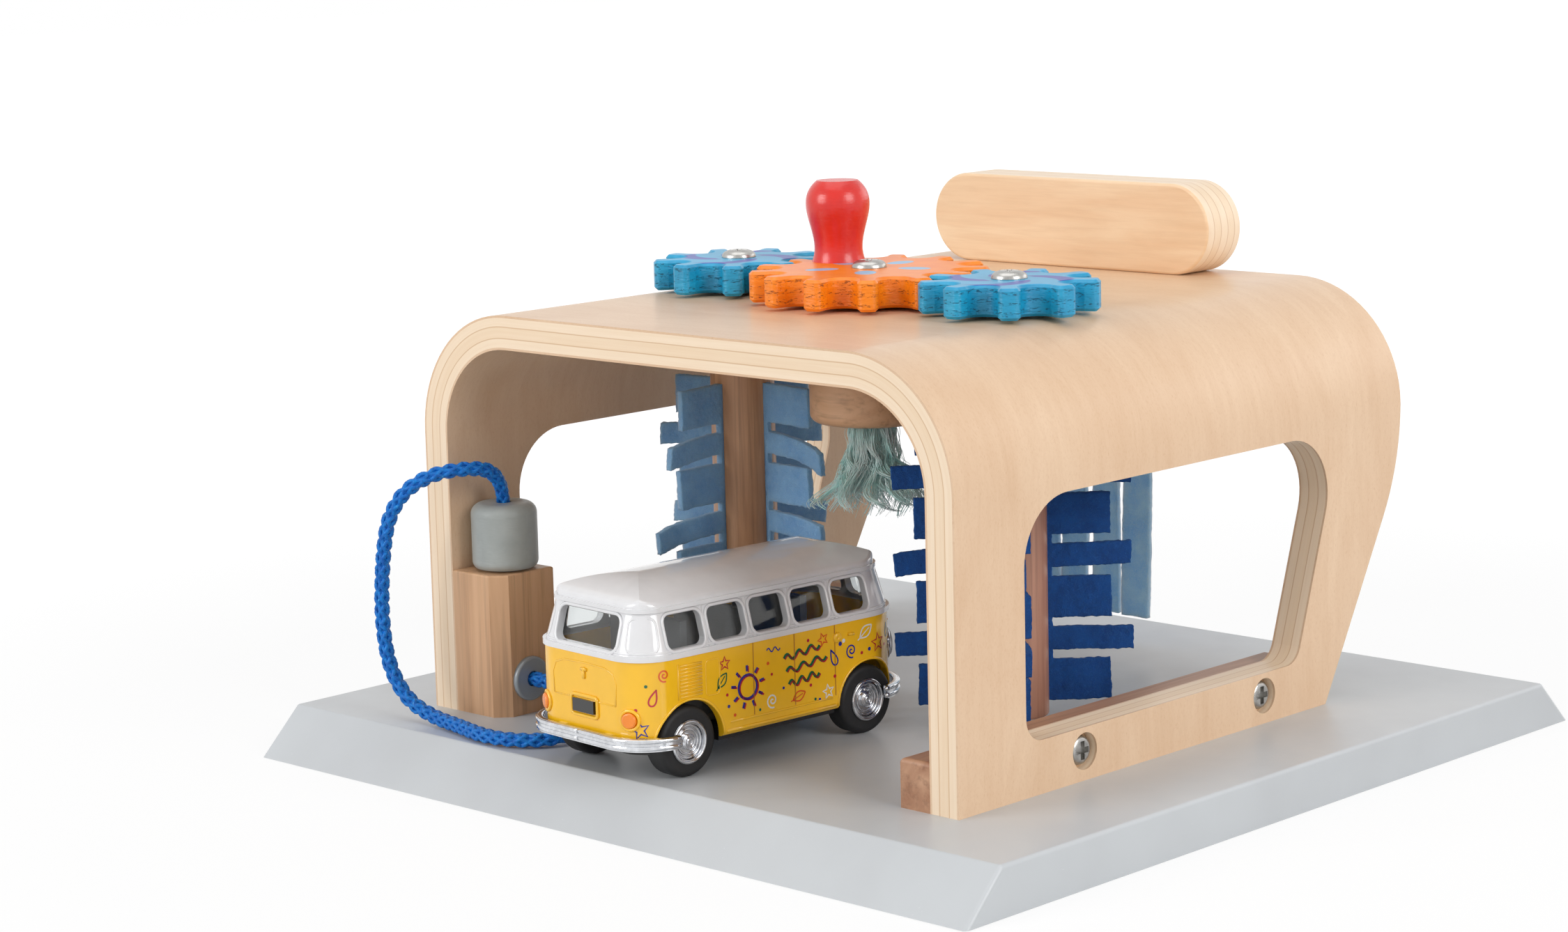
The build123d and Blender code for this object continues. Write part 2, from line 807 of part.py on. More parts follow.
def make_post(x, first_angle):
    """A dowel with slots for the combs and a spigot that passes the roof."""
    post = upright(post_radius, post_low, post_top)
    post = fillet(post.edges().group_by(Axis.Z)[0], post_edge_round)
    post += upright(spigot_radius, post_top, spigot_top)
    slot = Pos(comb_inner_radius - glue_gap, 0, post_low - overrun) * Box(
        post_radius, comb_thickness + 2 * comb_slot_clearance,
        comb_high + glue_gap - post_low + overrun,
        align=(Align.MIN, Align.CENTER, Align.MIN),
    )
    for cutter in ring(comb_count, first_angle, slot):
        post -= cutter
    return Pos(x, gear_row_y, 0) * post - shank_bore(x)


def make_comb(x, angle):
    """One felt comb: a spine in the slot, with wide short and narrow long tabs."""
    low_inner = (Align.MIN, Align.CENTER, Align.MIN)
    comb = Pos(comb_inner_radius, 0, comb_low) * Box(
        comb_spine_radius - comb_inner_radius, comb_thickness, comb_high - comb_low,
        align=low_inner,
    )
    tabs = []
    level = comb_low
    for index in range(comb_wide_count):
        tabs.append((level, comb_wide_height, comb_wide_reach))
        level += comb_wide_height + comb_gap_height
        if index < comb_wide_count - 1:
            tabs.append((level, comb_narrow_height, comb_narrow_reach))
            level += comb_narrow_height + comb_gap_height
    for low, height, reach in tabs:
        comb += Pos(comb_spine_radius, 0, low) * Box(
            reach - comb_spine_radius, comb_thickness, height, align=low_inner
        )
    return Pos(x, gear_row_y, 0) * Rot(0, 0, angle) * comb


# Mop under the crank gear
drum_low = post_top - drum_thickness
mop_low = board_top + bus_ride_gap + bus_height + mop_bus_gap
mop_height = drum_low - mop_low
mop_bulge_share = 0.75
mop_waist_share = 0.5
mop_flare_share = 0.15


def make_drum():
    """The thick wooden disc that carries the mop, with its spigot."""
    drum = upright(drum_radius, drum_low, post_top)
    drum = fillet(drum.edges().group_by(Axis.Z)[0], drum_edge_round)
    drum += upright(spigot_radius, post_top, spigot_top)
    drum -= upright(
        mop_tuft_radius + glue_gap, drum_low - overrun, drum_low + mop_tuft_depth + glue_gap
    )
    return Pos(0, gear_row_y, 0) * drum - shank_bore(0)


def make_mop():
    """The tuft of yarn: bound at the top, a bulge, a waist and a wide hem."""
    bulge_z = mop_low + mop_height * mop_bulge_share
    waist_z = mop_low + mop_height * mop_waist_share
    flare_z = mop_low + mop_height * mop_flare_share
    tuft_top = drum_low + mop_tuft_depth
    profile = make_face(Curve() + [
        Polyline((0, tuft_top), (mop_tuft_radius, tuft_top), (mop_tuft_radius, drum_low)),
        Spline((mop_tuft_radius, drum_low), (mop_bulge_radius, bulge_z),
               (mop_waist_radius, waist_z), (mop_hem_radius, flare_z),
               (mop_hem_radius, mop_low)),
        Polyline((mop_hem_radius, mop_low), (0, mop_low), (0, tuft_top)),
    ])
    return Pos(0, gear_row_y, 0) * revolve(Plane.XZ * profile, Axis.Z)


# Minibus, drawn about its own axis with its nose towards +Y and its wheels on zero
bus_wheelbase = bus_length - bus_front_overhang - bus_rear_overhang
bus_front_y = bus_wheelbase / 2 + bus_front_overhang
bus_rear_y = bus_front_y - bus_length
wheel_outer_x = bus_width / 2 - wheel_track_inset
wheel_inner_x = wheel_outer_x - wheel_width
axle_places = {"front": bus_wheelbase / 2, "rear": -bus_wheelbase / 2}
bus_rim_share = 0.55
bus_seat = Pos(bus_place_x, bus_place_y, board_top + bus_ride_gap) * Rot(0, 0, bus_heading)


def bus_plan(inset, level):
    """The body seen from above at one level, drawn in by an inset."""
    half = bus_width / 2 - inset
    front = bus_front_y - inset
    rear = bus_rear_y + inset
    face = Polygon((-half, rear), (half, rear), (half, front), (-half, front), align=None)
    face = fillet(face.vertices().group_by(Axis.Y)[-1], bus_nose_radius - inset)
    face = fillet(face.vertices().group_by(Axis.Y)[0], bus_corner_radius - inset)
    return Pos(0, 0, level) * face


def bus_band(inset, low, high):
    """An upright band with the body's plan, between two levels."""
    return extrude(bus_plan(inset, low), amount=high - low)


def cabin_walls(inset):
    """The glazed part as a solid whose walls lean in towards the gutter."""
    low = bus_plan(inset, bus_belt_height)
    high = bus_plan(inset + bus_roof_inset, bus_gutter_height)
    return loft([low, high], ruled=True)


def across(radius, x_low, x_high, y, z):
    """A cylinder along X between two places."""
    rod = Cylinder(radius, x_high - x_low, align=(Align.CENTER, Align.CENTER, Align.MIN))
    return Pos(x_low, y, z) * Rot(0, 90, 0) * rod


def make_bus_lower():
    """The painted lower shell with its four wheel arches."""
    body = bus_band(0, bus_floor_height, bus_belt_height)
    body = fillet(body.edges().group_by(Axis.Z)[0], bus_sill_round)
    body -= bus_band(bus_wall, bus_floor_height - overrun, bus_belt_height + overrun)
    for y in axle_places.values():
        radius = wheel_radius + wheel_arch_gap
        body -= across(radius, -bus_width, bus_width, y, wheel_radius)
    return bus_seat * body


def bus_roof():
    """The crowned roof above the gutter, rounded down at both ends."""
    half = bus_width / 2 - bus_roof_inset
    crown_radius = (half ** 2 + bus_crown_drop ** 2) / (2 * bus_crown_drop)
    crown = Pos(0, 0, bus_height - crown_radius) * Rot(90, 0, 0) * Cylinder(
        crown_radius, 2 * bus_length
    )
    front = bus_front_y - bus_roof_inset - bus_end_run
    rear = bus_rear_y + bus_roof_inset + bus_end_run
    end_radius = (bus_end_run ** 2 + bus_end_drop ** 2) / (2 * bus_end_drop)
    ends = Pos(0, (front + rear) / 2, bus_height - end_radius) * Box(
        2 * bus_width, front - rear, 2 * end_radius
    )
    for y in (front, rear):
        ends += across(end_radius, -bus_width, bus_width, y, bus_height - end_radius)
    roof = bus_band(bus_roof_inset, bus_gutter_height, bus_height) & crown & ends
    rim_high = bus_gutter_height + (bus_height - bus_gutter_height) * bus_rim_share
    rim = []
    for edge in roof.edges():
        level = edge.center().Z
        flat = abs(edge.tangent_at(1 / 2).Z) < 1 / 2
        if bus_gutter_height + glue_gap < level < rim_high and flat:
            rim.append(edge)
    return fillet(rim, bus_crown_round)


def make_bus_upper():
    """The white cabin: belt lip, leaning walls, gutter, roof and window openings."""
    cabin = cabin_walls(0) + bus_roof()
    cabin += bus_band(-bus_belt_lip, bus_belt_height, bus_belt_height + bus_belt_lip_height)
    gutter_low = bus_gutter_height - bus_gutter_thickness / 2
    cabin += bus_band(
        bus_roof_inset - bus_gutter_proud, gutter_low, gutter_low + bus_gutter_thickness
    )
    cabin -= cabin_walls(bus_wall)
    cabin -= bus_band(bus_wall, bus_belt_height - overrun, bus_belt_height + glue_gap)
    cabin -= bus_band(bus_roof_inset + bus_wall, bus_gutter_height - glue_gap, bus_ceiling_height)
    window_mid = (window_low + window_high) / 2
    window_rise = window_high - window_low
    first_y = side_window_centre_y - (side_window_count - 1) * side_window_pitch / 2
    for index in range(side_window_count):
        pane = RectangleRounded(side_window_width, window_rise, window_corner_radius)
        place = Plane.YZ * Pos(first_y + index * side_window_pitch, window_mid)
        cabin -= extrude(place * pane, amount=bus_width, both=True)
    rear = RectangleRounded(rear_window_width, window_rise, window_corner_radius)
    cabin -= Pos(0, 0, window_mid) * extrude(Plane.XZ * rear, amount=bus_length)
    screen = (screen_width - screen_post_width) / 2
    for side in (-1, 1):
        half = RectangleRounded(screen, window_rise, window_corner_radius)
        offset = side * (screen + screen_post_width) / 2
        cabin -= Pos(offset, 0, window_mid) * extrude(Plane.XZ * half, amount=-bus_length)
    return bus_seat * cabin


def make_bus_glazing():
    """One clear insert that lines the cabin behind every window."""
    outer = cabin_walls(bus_wall + glazing_gap)
    inner = cabin_walls(bus_wall + glazing_gap + glazing_thickness)
    low = window_low - glazing_margin
    high = window_high + glazing_margin
    return bus_seat * ((outer - inner) & bus_band(0, low, high))


def make_bus_seats():
    """The cabin floor with rows of benches."""
    low = wheel_radius + chassis_thickness / 2
    rear = bus_rear_y + bus_wall + seat_rear_inset
    front = bus_front_y - bus_nose_radius
    corner = (Align.CENTER, Align.MIN, Align.MIN)
    inside = bus_rear_y + bus_wall + glue_gap + bus_corner_radius / 2
    seats = Pos(0, inside, low) * Box(
        seat_width, front - inside, seat_floor_thickness, align=corner
    )
    for row in range(seat_row_count):
        y = rear + row * seat_pitch
        seats += Pos(0, y, low) * Box(
            seat_width, seat_depth, seat_cushion_height - low, align=corner
        )
        seats += Pos(0, y, low) * Box(
            seat_width, seat_back_thickness, seat_back_height - low, align=corner
        )
    return bus_seat * seats


def make_bus_chassis():
    """The black base plate, cut out at the wheels and bored for the axles."""
    low = wheel_radius - chassis_thickness / 2
    plate = bus_band(chassis_inset, low, low + chassis_thickness)
    recess = 2 * (wheel_radius + wheel_arch_gap)
    for y in axle_places.values():
        for side in (-1, 1):
            inner = wheel_inner_x - wheel_side_gap
            plate -= Pos(side * (inner + bus_width / 2), y, wheel_radius) * Box(
                bus_width, recess, recess
            )
        plate -= across(axle_radius + axle_clearance, -bus_width, bus_width, y, wheel_radius)
    return bus_seat * plate


def make_bumper(end):
    """A chrome strip that wraps one end of the body, with two lugs behind it."""
    stand = bumper_stand_off
    strip = bus_band(-stand - bumper_thickness, bumper_low, bumper_low + bumper_height)
    strip -= bus_band(-stand, bumper_low - overrun, bumper_low + bumper_height + overrun)
    body_y = bus_front_y if end > 0 else bus_rear_y
    keep = Pos(0, body_y + end * (bus_length - bumper_wrap), bumper_low) * Box(
        2 * bus_width, 2 * bus_length, 2 * bumper_height + overrun
    )
    strip &= keep
    strip = fillet(strip.edges().group_by(Axis.Z)[-1], bumper_edge_round)
    reach = stand + bumper_thickness / 2
    for x in (-bumper_lug_spacing / 2, bumper_lug_spacing / 2):
        strip += Pos(x, body_y + end * reach / 2, bumper_low + bumper_height * 3 / 4) * Box(
            bumper_lug_width, reach, bumper_height / 4
        )
    return bus_seat * strip


def make_lamps(end, radius, spacing, height):
    """A pair of round lamps on the curved corners of one end."""
    corner = bus_nose_radius if end > 0 else bus_corner_radius
    body_y = bus_front_y if end > 0 else bus_rear_y
    centre_x = bus_width / 2 - corner
    angle = math.degrees(math.asin((spacing / 2 - centre_x) / corner))
    lamp = Cylinder(radius, lamp_proud, align=(Align.CENTER, Align.CENTER, Align.MIN))
    lamp = fillet(lamp.edges().group_by(Axis.Z)[-1], lamp_proud / 2)
    lamp = Pos(0, end * corner, 0) * Rot(-end * 90, 0, 0) * lamp
    return bus_seat * Compound(children=[
        Pos(side * centre_x, body_y - end * corner, height)
        * Rot(0, 0, -side * end * angle) * lamp
        for side in (-1, 1)
    ])


def make_plate():
    """The bare plate on the tail."""
    return bus_seat * Pos(0, bus_rear_y - plate_thickness / 2, plate_centre_height) * Box(
        plate_width, plate_thickness, plate_height
    )


def make_axle(y):
    """The rod that joins two wheels, ending inside the hubs."""
    end = wheel_outer_x + hub_proud - hub_depth / 2
    return bus_seat * across(axle_radius, -end, end, y, wheel_radius)


def make_tyres(y):
    """A pair of tyres with rounded shoulders, open for the hubs."""
    tyre = Cylinder(wheel_radius, wheel_width)
    tyre = fillet(tyre.edges(), tyre_round)
    tyre -= Cylinder(hub_radius + glue_gap, wheel_width + overrun)
    middle = (wheel_inner_x + wheel_outer_x) / 2
    return bus_seat * Compound(children=[
        Pos(side * middle, y, wheel_radius) * Rot(0, 90, 0) * tyre for side in (-1, 1)
    ])


def make_hubs(y):
    """A pair of hubs with a dished face, a raised ring and a cap."""
    face = hub_depth / 2
    hub = Cylinder(hub_radius, hub_depth)
    hub -= Pos(0, 0, face) * (
        Cylinder(hub_radius - hub_rim, 2 * hub_dish) - Cylinder(hub_cap_radius, 2 * hub_dish)
    )
    cap = hub.edges().filter_by(GeomType.CIRCLE).group_by(Axis.Z)[-1]
    hub = fillet(cap.sort_by(SortBy.RADIUS)[0], hub_dish / 2)
    hub -= Pos(0, 0, -face) * Cylinder(axle_radius + glue_gap, hub_depth + 2 * glue_gap)
    middle = wheel_outer_x + hub_proud - hub_depth / 2
    return bus_seat * Compound(children=[
        Pos(side * middle, y, wheel_radius) * Rot(0, side * 90, 0) * hub for side in (-1, 1)
    ])


save(make_board(), "base_board")
save(make_board_screws(), "board_screws")
save(make_arch(), "tunnel_arch")
save(make_arch_screws(), "arch_screws")
save(make_rail(-1), "left_rail")
save(make_rail(1), "right_rail")
save(make_block(), "nozzle_block")
save(make_plug(), "rope_plug")
save(make_rope(), "hose_rope")
save(make_nozzle_body(), "nozzle_body")
save(make_nozzle_pin(), "nozzle_pin")
save(make_sign(), "sign_board")
save(make_sign_screws(), "sign_screws")
save(make_batten(), "curtain_batten")
save(make_curtain(), "curtain_strips")
save(make_washers(), "gear_washers")
save(make_drive_gear(), "drive_gear")
save(make_knob(), "crank_knob")
save(make_knob_screw(), "knob_screw")
save(make_gear_screw(0), "drive_gear_screw")
save(make_drum(), "mop_drum")
save(make_mop(), "mop_yarn")
brushes = [
    ("left", -gear_centre_distance, -brush_mesh_angle, left_comb_angle),
    ("right", gear_centre_distance, 180.0 + brush_mesh_angle, right_comb_angle),
]
for side, x, tooth_angle, comb_angle in brushes:
    gear = make_gear(brush_teeth, brush_outer_radius, brush_root_radius, x, tooth_angle)
    save(gear, side + "_brush_gear")
    save(make_gear_screw(x), side + "_gear_screw")
    save(make_post(x, comb_angle), side + "_brush_post")
    for index in range(comb_count):
        comb = make_comb(x, comb_angle + index * 360.0 / comb_count)
        save(comb, side + "_felt_comb_" + str(index + 1))
save(make_bus_lower(), "bus_lower_body")
save(make_bus_upper(), "bus_upper_body")
save(make_bus_glazing(), "bus_glazing")
save(make_bus_seats(), "bus_seats")
save(make_bus_chassis(), "bus_chassis")
save(make_bumper(1), "bus_front_bumper")
save(make_bumper(-1), "bus_rear_bumper")
save(make_lamps(1, headlamp_radius, headlamp_spacing, headlamp_height), "bus_headlamps")
save(make_lamps(-1, lamp_radius, lamp_spacing, lamp_height), "bus_rear_lamps")
save(make_plate(), "bus_rear_plate")
for end, y in axle_places.items():
    save(make_axle(y), "bus_" + end + "_axle")
    save(make_tyres(y), "bus_" + end + "_tyres")
    save(make_hubs(y), "bus_" + end + "_hubs")
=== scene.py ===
import random
from math import asin, cos, hypot, pi, radians, sin, sqrt
import bpy
from mathutils import Matrix, Vector, noise


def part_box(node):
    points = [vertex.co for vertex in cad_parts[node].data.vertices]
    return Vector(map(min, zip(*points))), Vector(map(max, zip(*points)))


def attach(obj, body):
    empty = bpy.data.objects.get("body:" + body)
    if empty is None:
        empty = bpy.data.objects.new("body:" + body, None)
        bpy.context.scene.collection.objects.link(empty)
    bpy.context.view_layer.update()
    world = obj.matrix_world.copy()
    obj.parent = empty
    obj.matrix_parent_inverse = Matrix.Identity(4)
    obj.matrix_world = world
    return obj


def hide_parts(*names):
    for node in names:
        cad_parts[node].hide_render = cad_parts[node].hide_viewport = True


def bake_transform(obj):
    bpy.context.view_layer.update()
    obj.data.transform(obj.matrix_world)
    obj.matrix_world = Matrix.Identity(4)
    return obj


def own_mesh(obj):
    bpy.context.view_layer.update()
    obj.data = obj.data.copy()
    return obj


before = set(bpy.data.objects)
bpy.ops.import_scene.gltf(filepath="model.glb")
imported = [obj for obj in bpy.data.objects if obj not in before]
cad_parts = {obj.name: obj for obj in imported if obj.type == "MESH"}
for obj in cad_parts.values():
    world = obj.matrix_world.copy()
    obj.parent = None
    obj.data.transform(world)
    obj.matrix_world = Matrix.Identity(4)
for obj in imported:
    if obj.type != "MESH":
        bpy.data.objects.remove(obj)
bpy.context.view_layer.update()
MM = 0.001

# Sizes of the solids that the looks follow, in millimetres
BOARD_TOP = 8.3
ARCH_HALF, ARCH_TOP, BEND, PLY = 62.5, 80.8, 22.0, 6.0
GEAR_X, GEAR_Y, GEAR_TOP = 32.0, -10.0, 86.8
SIGN_FRONT, SIGN_THICK = 49.5, 10.0


def linked(name, data):
    o = bpy.data.objects.new(name, data)
    bpy.context.scene.collection.objects.link(o)
    return o


# ---- camera
CAMERA_PLACE = (0.41131, -0.45847, 0.15406)
CAMERA_TURN = (44.012, 9.536, -1.435)  # azimuth, pitch and roll in degrees
CAMERA_LENS, CAMERA_SENSOR = 80.12, 36.0


def make_camera():
    az, pitch, roll = (radians(a) for a in CAMERA_TURN)
    level = cos(pitch)
    back = Vector((sin(az) * level, -cos(az) * level, sin(pitch)))
    right = (-back).cross(Vector((0, 0, 1))).normalized()
    up = right.cross(-back)
    across = cos(roll) * right + sin(roll) * up
    rise = -sin(roll) * right + cos(roll) * up
    data = bpy.data.cameras.new("photo_camera")
    data.lens = CAMERA_LENS
    data.sensor_width = CAMERA_SENSOR
    data.clip_start = 0.01
    camera = linked("photo_camera", data)
    turn = Matrix((across, rise, back)).transposed().to_4x4()
    camera.matrix_world = Matrix.Translation(CAMERA_PLACE) @ turn
    bpy.context.scene.camera = camera


make_camera()


# ---- node helper
def rgb(r, g, b):
    """An sRGB colour of 0 to 255 as Blender's linear one."""
    def one(v):
        v = v / 255
        return v / 12.92 if v <= 0.04045 else ((v + 0.055) / 1.055) ** 2.4
    return (one(r), one(g), one(b), 1.0)


def dimmed(colour, share):
    return tuple(c * share for c in colour[:3]) + (1,)


class Nodes:
    """A short way to add nodes to a material or a world."""

    def __init__(self, owner):
        owner.use_nodes = True
        self.t = owner.node_tree

    def node(self, kind, props=None, **inputs):
        """A new node; i0, i1 and so on are inputs by number, the rest by name."""
        n = self.t.nodes.new("ShaderNode" + kind)
        for key, value in (props or {}).items():
            setattr(n, key, value)
        for key, value in inputs.items():
            numbered = key[0] == "i" and key[1:].isdigit()
            self.put(n.inputs[int(key[1:]) if numbered else key.replace("_", " ")], value)
        return n

    def put(self, socket, value):
        if isinstance(value, bpy.types.NodeSocket):
            self.t.links.new(value, socket)
        else:
            socket.default_value = value

    def math(self, op, a, b=0.0, clamp=False):
        return self.node("Math", {"operation": op, "use_clamp": clamp}, i0=a, i1=b).outputs[0]

    def add(self, a, b, clamp=False):
        return self.math("ADD", a, b, clamp)

    def sub(self, a, b):
        return self.math("SUBTRACT", a, b)

    def mul(self, a, b):
        return self.math("MULTIPLY", a, b)

    def maximum(self, a, b):
        return self.math("MAXIMUM", a, b)

    def minimum(self, a, b):
        return self.math("MINIMUM", a, b)

    def inverse(self, a):
        return self.sub(1.0, a)

    def hypot(self, a, b):
        return self.math("SQRT", self.add(self.mul(a, a), self.mul(b, b)))

    def xyz(self, vector=None):
        return self.node("SeparateXYZ", i0=vector or self.co).outputs

    def vec(self, x, y, z):
        return self.node("CombineXYZ", i0=x, i1=y, i2=z).outputs[0]

    def scaled(self, x, y, z, source=None):
        return self.node("Mapping", Vector=source or self.co, Scale=(x, y, z)).outputs[0]

    def noise(self, vector, scale, detail=3.0, rough=0.5, distort=0.0):
        n = self.node("TexNoise", Vector=vector, Scale=scale, Detail=detail,
                      Roughness=rough, Distortion=distort)
        return n.outputs["Fac"]

    def voronoi(self, vector, scale):
        return self.node("TexVoronoi", Vector=vector, Scale=scale).outputs["Distance"]

    def fade(self, value, low, high):
        """A straight ramp, black at low and white at high."""
        n = self.node("ValToRGB", i0=value)
        for item, (place, level) in zip(n.color_ramp.elements, ((low, 0), (high, 1))):
            item.position = place
            item.color = (level, level, level, 1)
        return n.outputs[0]

    def step(self, value, low, high, start=0.0, end=1.0):
        """A smooth change from start at low to end at high."""
        smooth = {"interpolation_type": "SMOOTHSTEP"}
        n = self.node("MapRange", smooth, i0=value, i1=low, i2=high, i3=start, i4=end)
        return n.outputs[0]

    def seen(self):
        """1 for what the camera sees, also through glass and in a mirror."""
        rays = self.node("LightPath").outputs
        direct = self.maximum(rays["Is Camera Ray"], rays["Is Transmission Ray"])
        return self.maximum(direct, rays["Is Glossy Ray"])

    def mix(self, fac, a, b):
        return self.node("Mix", {"data_type": "RGBA"}, i0=fac, i6=a, i7=b).outputs[2]

    def tint(self, base, colour, share, value, low, high):
        """Lays a colour over the base where the value has risen from low to high."""
        return self.mix(self.mul(self.fade(value, low, high), share), base, colour)


class Mat(Nodes):
    """A material on the Principled shader."""

    def __init__(self, name, rough, **sockets):
        self.m = bpy.data.materials.new(name)
        super().__init__(self.m)
        self.b = self.t.nodes["Principled BSDF"]
        self.b.inputs["Roughness"].default_value = rough
        for key, value in sockets.items():
            self.b.inputs[key.replace("_", " ")].default_value = value
        self.co = self.node("TexCoord").outputs["Object"]

    def colour(self, value):
        self.put(self.b.inputs["Base Color"], value)

    def rough(self, value):
        self.put(self.b.inputs["Roughness"], value)

    def bump(self, height, strength, distance):
        n = self.node("Bump", Height=height, Strength=strength, Distance=distance)
        normal = self.b.inputs["Normal"]
        if normal.is_linked:
            self.put(n.inputs["Normal"], normal.links[0].from_socket)
        self.put(normal, n.outputs[0])


# ---- materials
def painted(name, colour, dark, rough, grain, top=None, pores=None):
    """Lacquered paint over wood: a faint grain and orange peel, open grain on the sides."""
    m = Mat(name, rough, Coat_Weight=0.15, Coat_Roughness=0.25)
    base = m.mix(m.fade(m.noise(m.co, 260, 4), 0.3, 0.75), dark, colour)
    if top:
        base = top(m, base)
    m.bump(m.noise(m.co, 900, 3), 0.16, 0.0002)
    long_grain = m.noise(m.scaled(1, 1, 5), 420, 3, 0.6)
    if pores:
        normal = m.xyz(m.node("NewGeometry").outputs["Normal"])
        side = m.math("LESS_THAN", m.math("ABSOLUTE", normal[2]), 0.5)
        plies = m.mul(m.math("SINE", m.mul(m.xyz()[2], 3600.0)), 0.06)
        open_grain = m.noise(m.scaled(1000, 1000, 5200), 1.0, 3, 0.65)
        dash = m.mul(m.step(m.add(open_grain, plies), 0.61, 0.70), side)
        base = m.mix(m.mul(dash, 0.55), base, pores)
        m.bump(m.inverse(dash), 0.9, 0.00025)
        m.bump(long_grain, m.add(0.15, m.mul(side, grain)), 0.00014)
    else:
        m.bump(long_grain, grain, 0.00012)
    m.colour(base)
    return m


def wood(name, light, dark, axis):
    """Lacquered solid wood with long grain along one axis."""
    m = Mat(name, 0.45, Coat_Weight=0.1, Coat_Roughness=0.3)
    stretch, fine = [60.0] * 3, [900.0] * 3
    stretch["xyz".index(axis)], fine["xyz".index(axis)] = 4.0, 25.0
    grain = m.noise(m.scaled(*stretch), 4.0, 6, 0.62, 0.6)
    lines = m.noise(m.scaled(*fine), 1.0, 3, 0.6)
    wide = m.noise(m.scaled(*[s * 0.35 for s in stretch]), 3.0, 2, 0.5, 1.0)
    deep = m.mix(0.55, dark, (0.05, 0.025, 0.012, 1))
    tone = m.mix(m.fade(grain, 0.32, 0.68), dark, light)
    tone = m.tint(tone, dark, 0.35, wide, 0.45, 0.7)
    m.colour(m.tint(tone, deep, 0.5, lines, 0.5, 0.72))
    m.bump(lines, 0.25, 0.00012)
    return m


def metal(name, colour, rough, scratch=0.2, bump=0.05):
    m = Mat(name, rough, Metallic=1.0)
    worn = m.noise(m.co, 900, 4)
    m.colour(m.mix(m.fade(worn, 0.3, 0.8), dimmed(colour, 0.72), colour))
    m.rough(m.add(rough, m.mul(worn, scratch)))
    m.bump(m.noise(m.co, 1500, 2), bump, 0.0001)
    return m


def on_faces(m, depth, thick, skin):
    """1 on both faces of a sheet, by the depth under its outer face."""
    under, over = m.math("LESS_THAN", depth, skin), m.math("GREATER_THAN", depth, thick - skin)
    return m.maximum(under, over)


def ply_edge(m, depth, at, count, thick):
    """Colour of a cut edge with its plies, by the depth in metres."""
    wobble = m.mul(m.sub(m.noise(m.co, 90, 2), 0.5), 0.02)
    place = m.mul(m.add(m.math("DIVIDE", depth, thick), wobble), float(count))
    inside = m.math("FRACT", place)
    line = m.inverse(m.step(m.minimum(inside, m.inverse(inside)), 0.015, 0.075))
    fibre = m.mul(m.fade(m.noise(at, 1.0, 4, 0.6), 0.35, 0.7), 0.45)
    odd = m.mul(m.math("MODULO", m.math("FLOOR", place), 2.0), 0.35)
    body = m.mix(m.add(fibre, odd, clamp=True), rgb(246, 224, 197), rgb(236, 208, 174))
    return m.mix(m.mul(line, 0.55), body, rgb(196, 148, 96))


def bent_plywood():
    m = Mat("bent_plywood", 0.40, Coat_Weight=0.2, Coat_Roughness=0.2, Specular_IOR_Level=0.3)
    x, y, z = m.xyz()
    # the depth under the outer face, round the bends too
    dx = m.sub(m.math("ABSOLUTE", x), (ARCH_HALF - BEND) * MM)
    dz = m.sub(z, (ARCH_TOP - BEND) * MM)
    outside = m.hypot(m.maximum(dx, 0.0), m.maximum(dz, 0.0))
    depth = m.sub(BEND * MM, m.add(outside, m.minimum(m.maximum(dx, dz), 0.0)))
    on_face = on_faces(m, depth, PLY * MM, 0.0004)
    # x - z and x + z both run round the bend, so the veneer's grain follows the sheet
    down, round_bend = m.sub(x, z), m.add(x, z)
    veneer = m.vec(down, y, round_bend)
    broad = m.noise(m.scaled(14, 60, 14, veneer), 1.6, 5, 0.6, 0.8)
    streak = m.noise(m.scaled(45, 700, 45, veneer), 1.0, 4, 0.6, 0.3)
    grit = m.noise(m.scaled(1100, 2600, 1100, veneer), 1.0, 2, 0.6)
    dot = m.voronoi(m.scaled(400, 1400, 400, veneer), 1.0)
    face = m.mix(m.fade(broad, 0.3, 0.7), rgb(221, 186, 152), rgb(231, 200, 168))
    face = m.tint(face, rgb(206, 164, 124), 0.20, streak, 0.45, 0.75)
    face = m.tint(face, rgb(204, 158, 116), 0.22, grit, 0.5, 0.75)
    face = m.mix(m.mul(m.inverse(m.step(dot, 0.05, 0.22)), 0.18), face, rgb(190, 140, 98))
    fibre = m.vec(m.mul(depth, 1600.0), m.mul(round_bend, 30.0), m.mul(down, 30.0))
    m.colour(m.mix(on_face, ply_edge(m, depth, fibre, 3, PLY * MM), face))
    m.rough(m.mix(on_face, (0.55, 0.55, 0.55, 1), (0.38, 0.38, 0.38, 1)))
    m.bump(streak, 0.10, 0.0001)
    m.bump(m.noise(m.co, 700, 2), 0.06, 0.0001)
    return m


def sign_plywood():
    m = Mat("sign_plywood", 0.42, Coat_Weight=0.15, Coat_Roughness=0.3)
    depth = m.sub(m.xyz()[1], SIGN_FRONT * MM)
    broad = m.noise(m.scaled(22, 22, 150), 1.4, 5, 0.6, 0.6)
    streak = m.noise(m.scaled(60, 60, 900), 1.0, 4, 0.6, 0.3)
    face = m.mix(m.fade(broad, 0.3, 0.7), rgb(238, 200, 159), rgb(248, 219, 182))
    face = m.tint(face, rgb(212, 168, 122), 0.3, streak, 0.45, 0.75)
    edge = ply_edge(m, depth, m.scaled(260, 500, 260), 5, SIGN_THICK * MM)
    m.colour(m.mix(on_faces(m, depth, SIGN_THICK * MM, 0.0003), edge, face))
    m.bump(streak, 0.1, 0.0001)
    return m


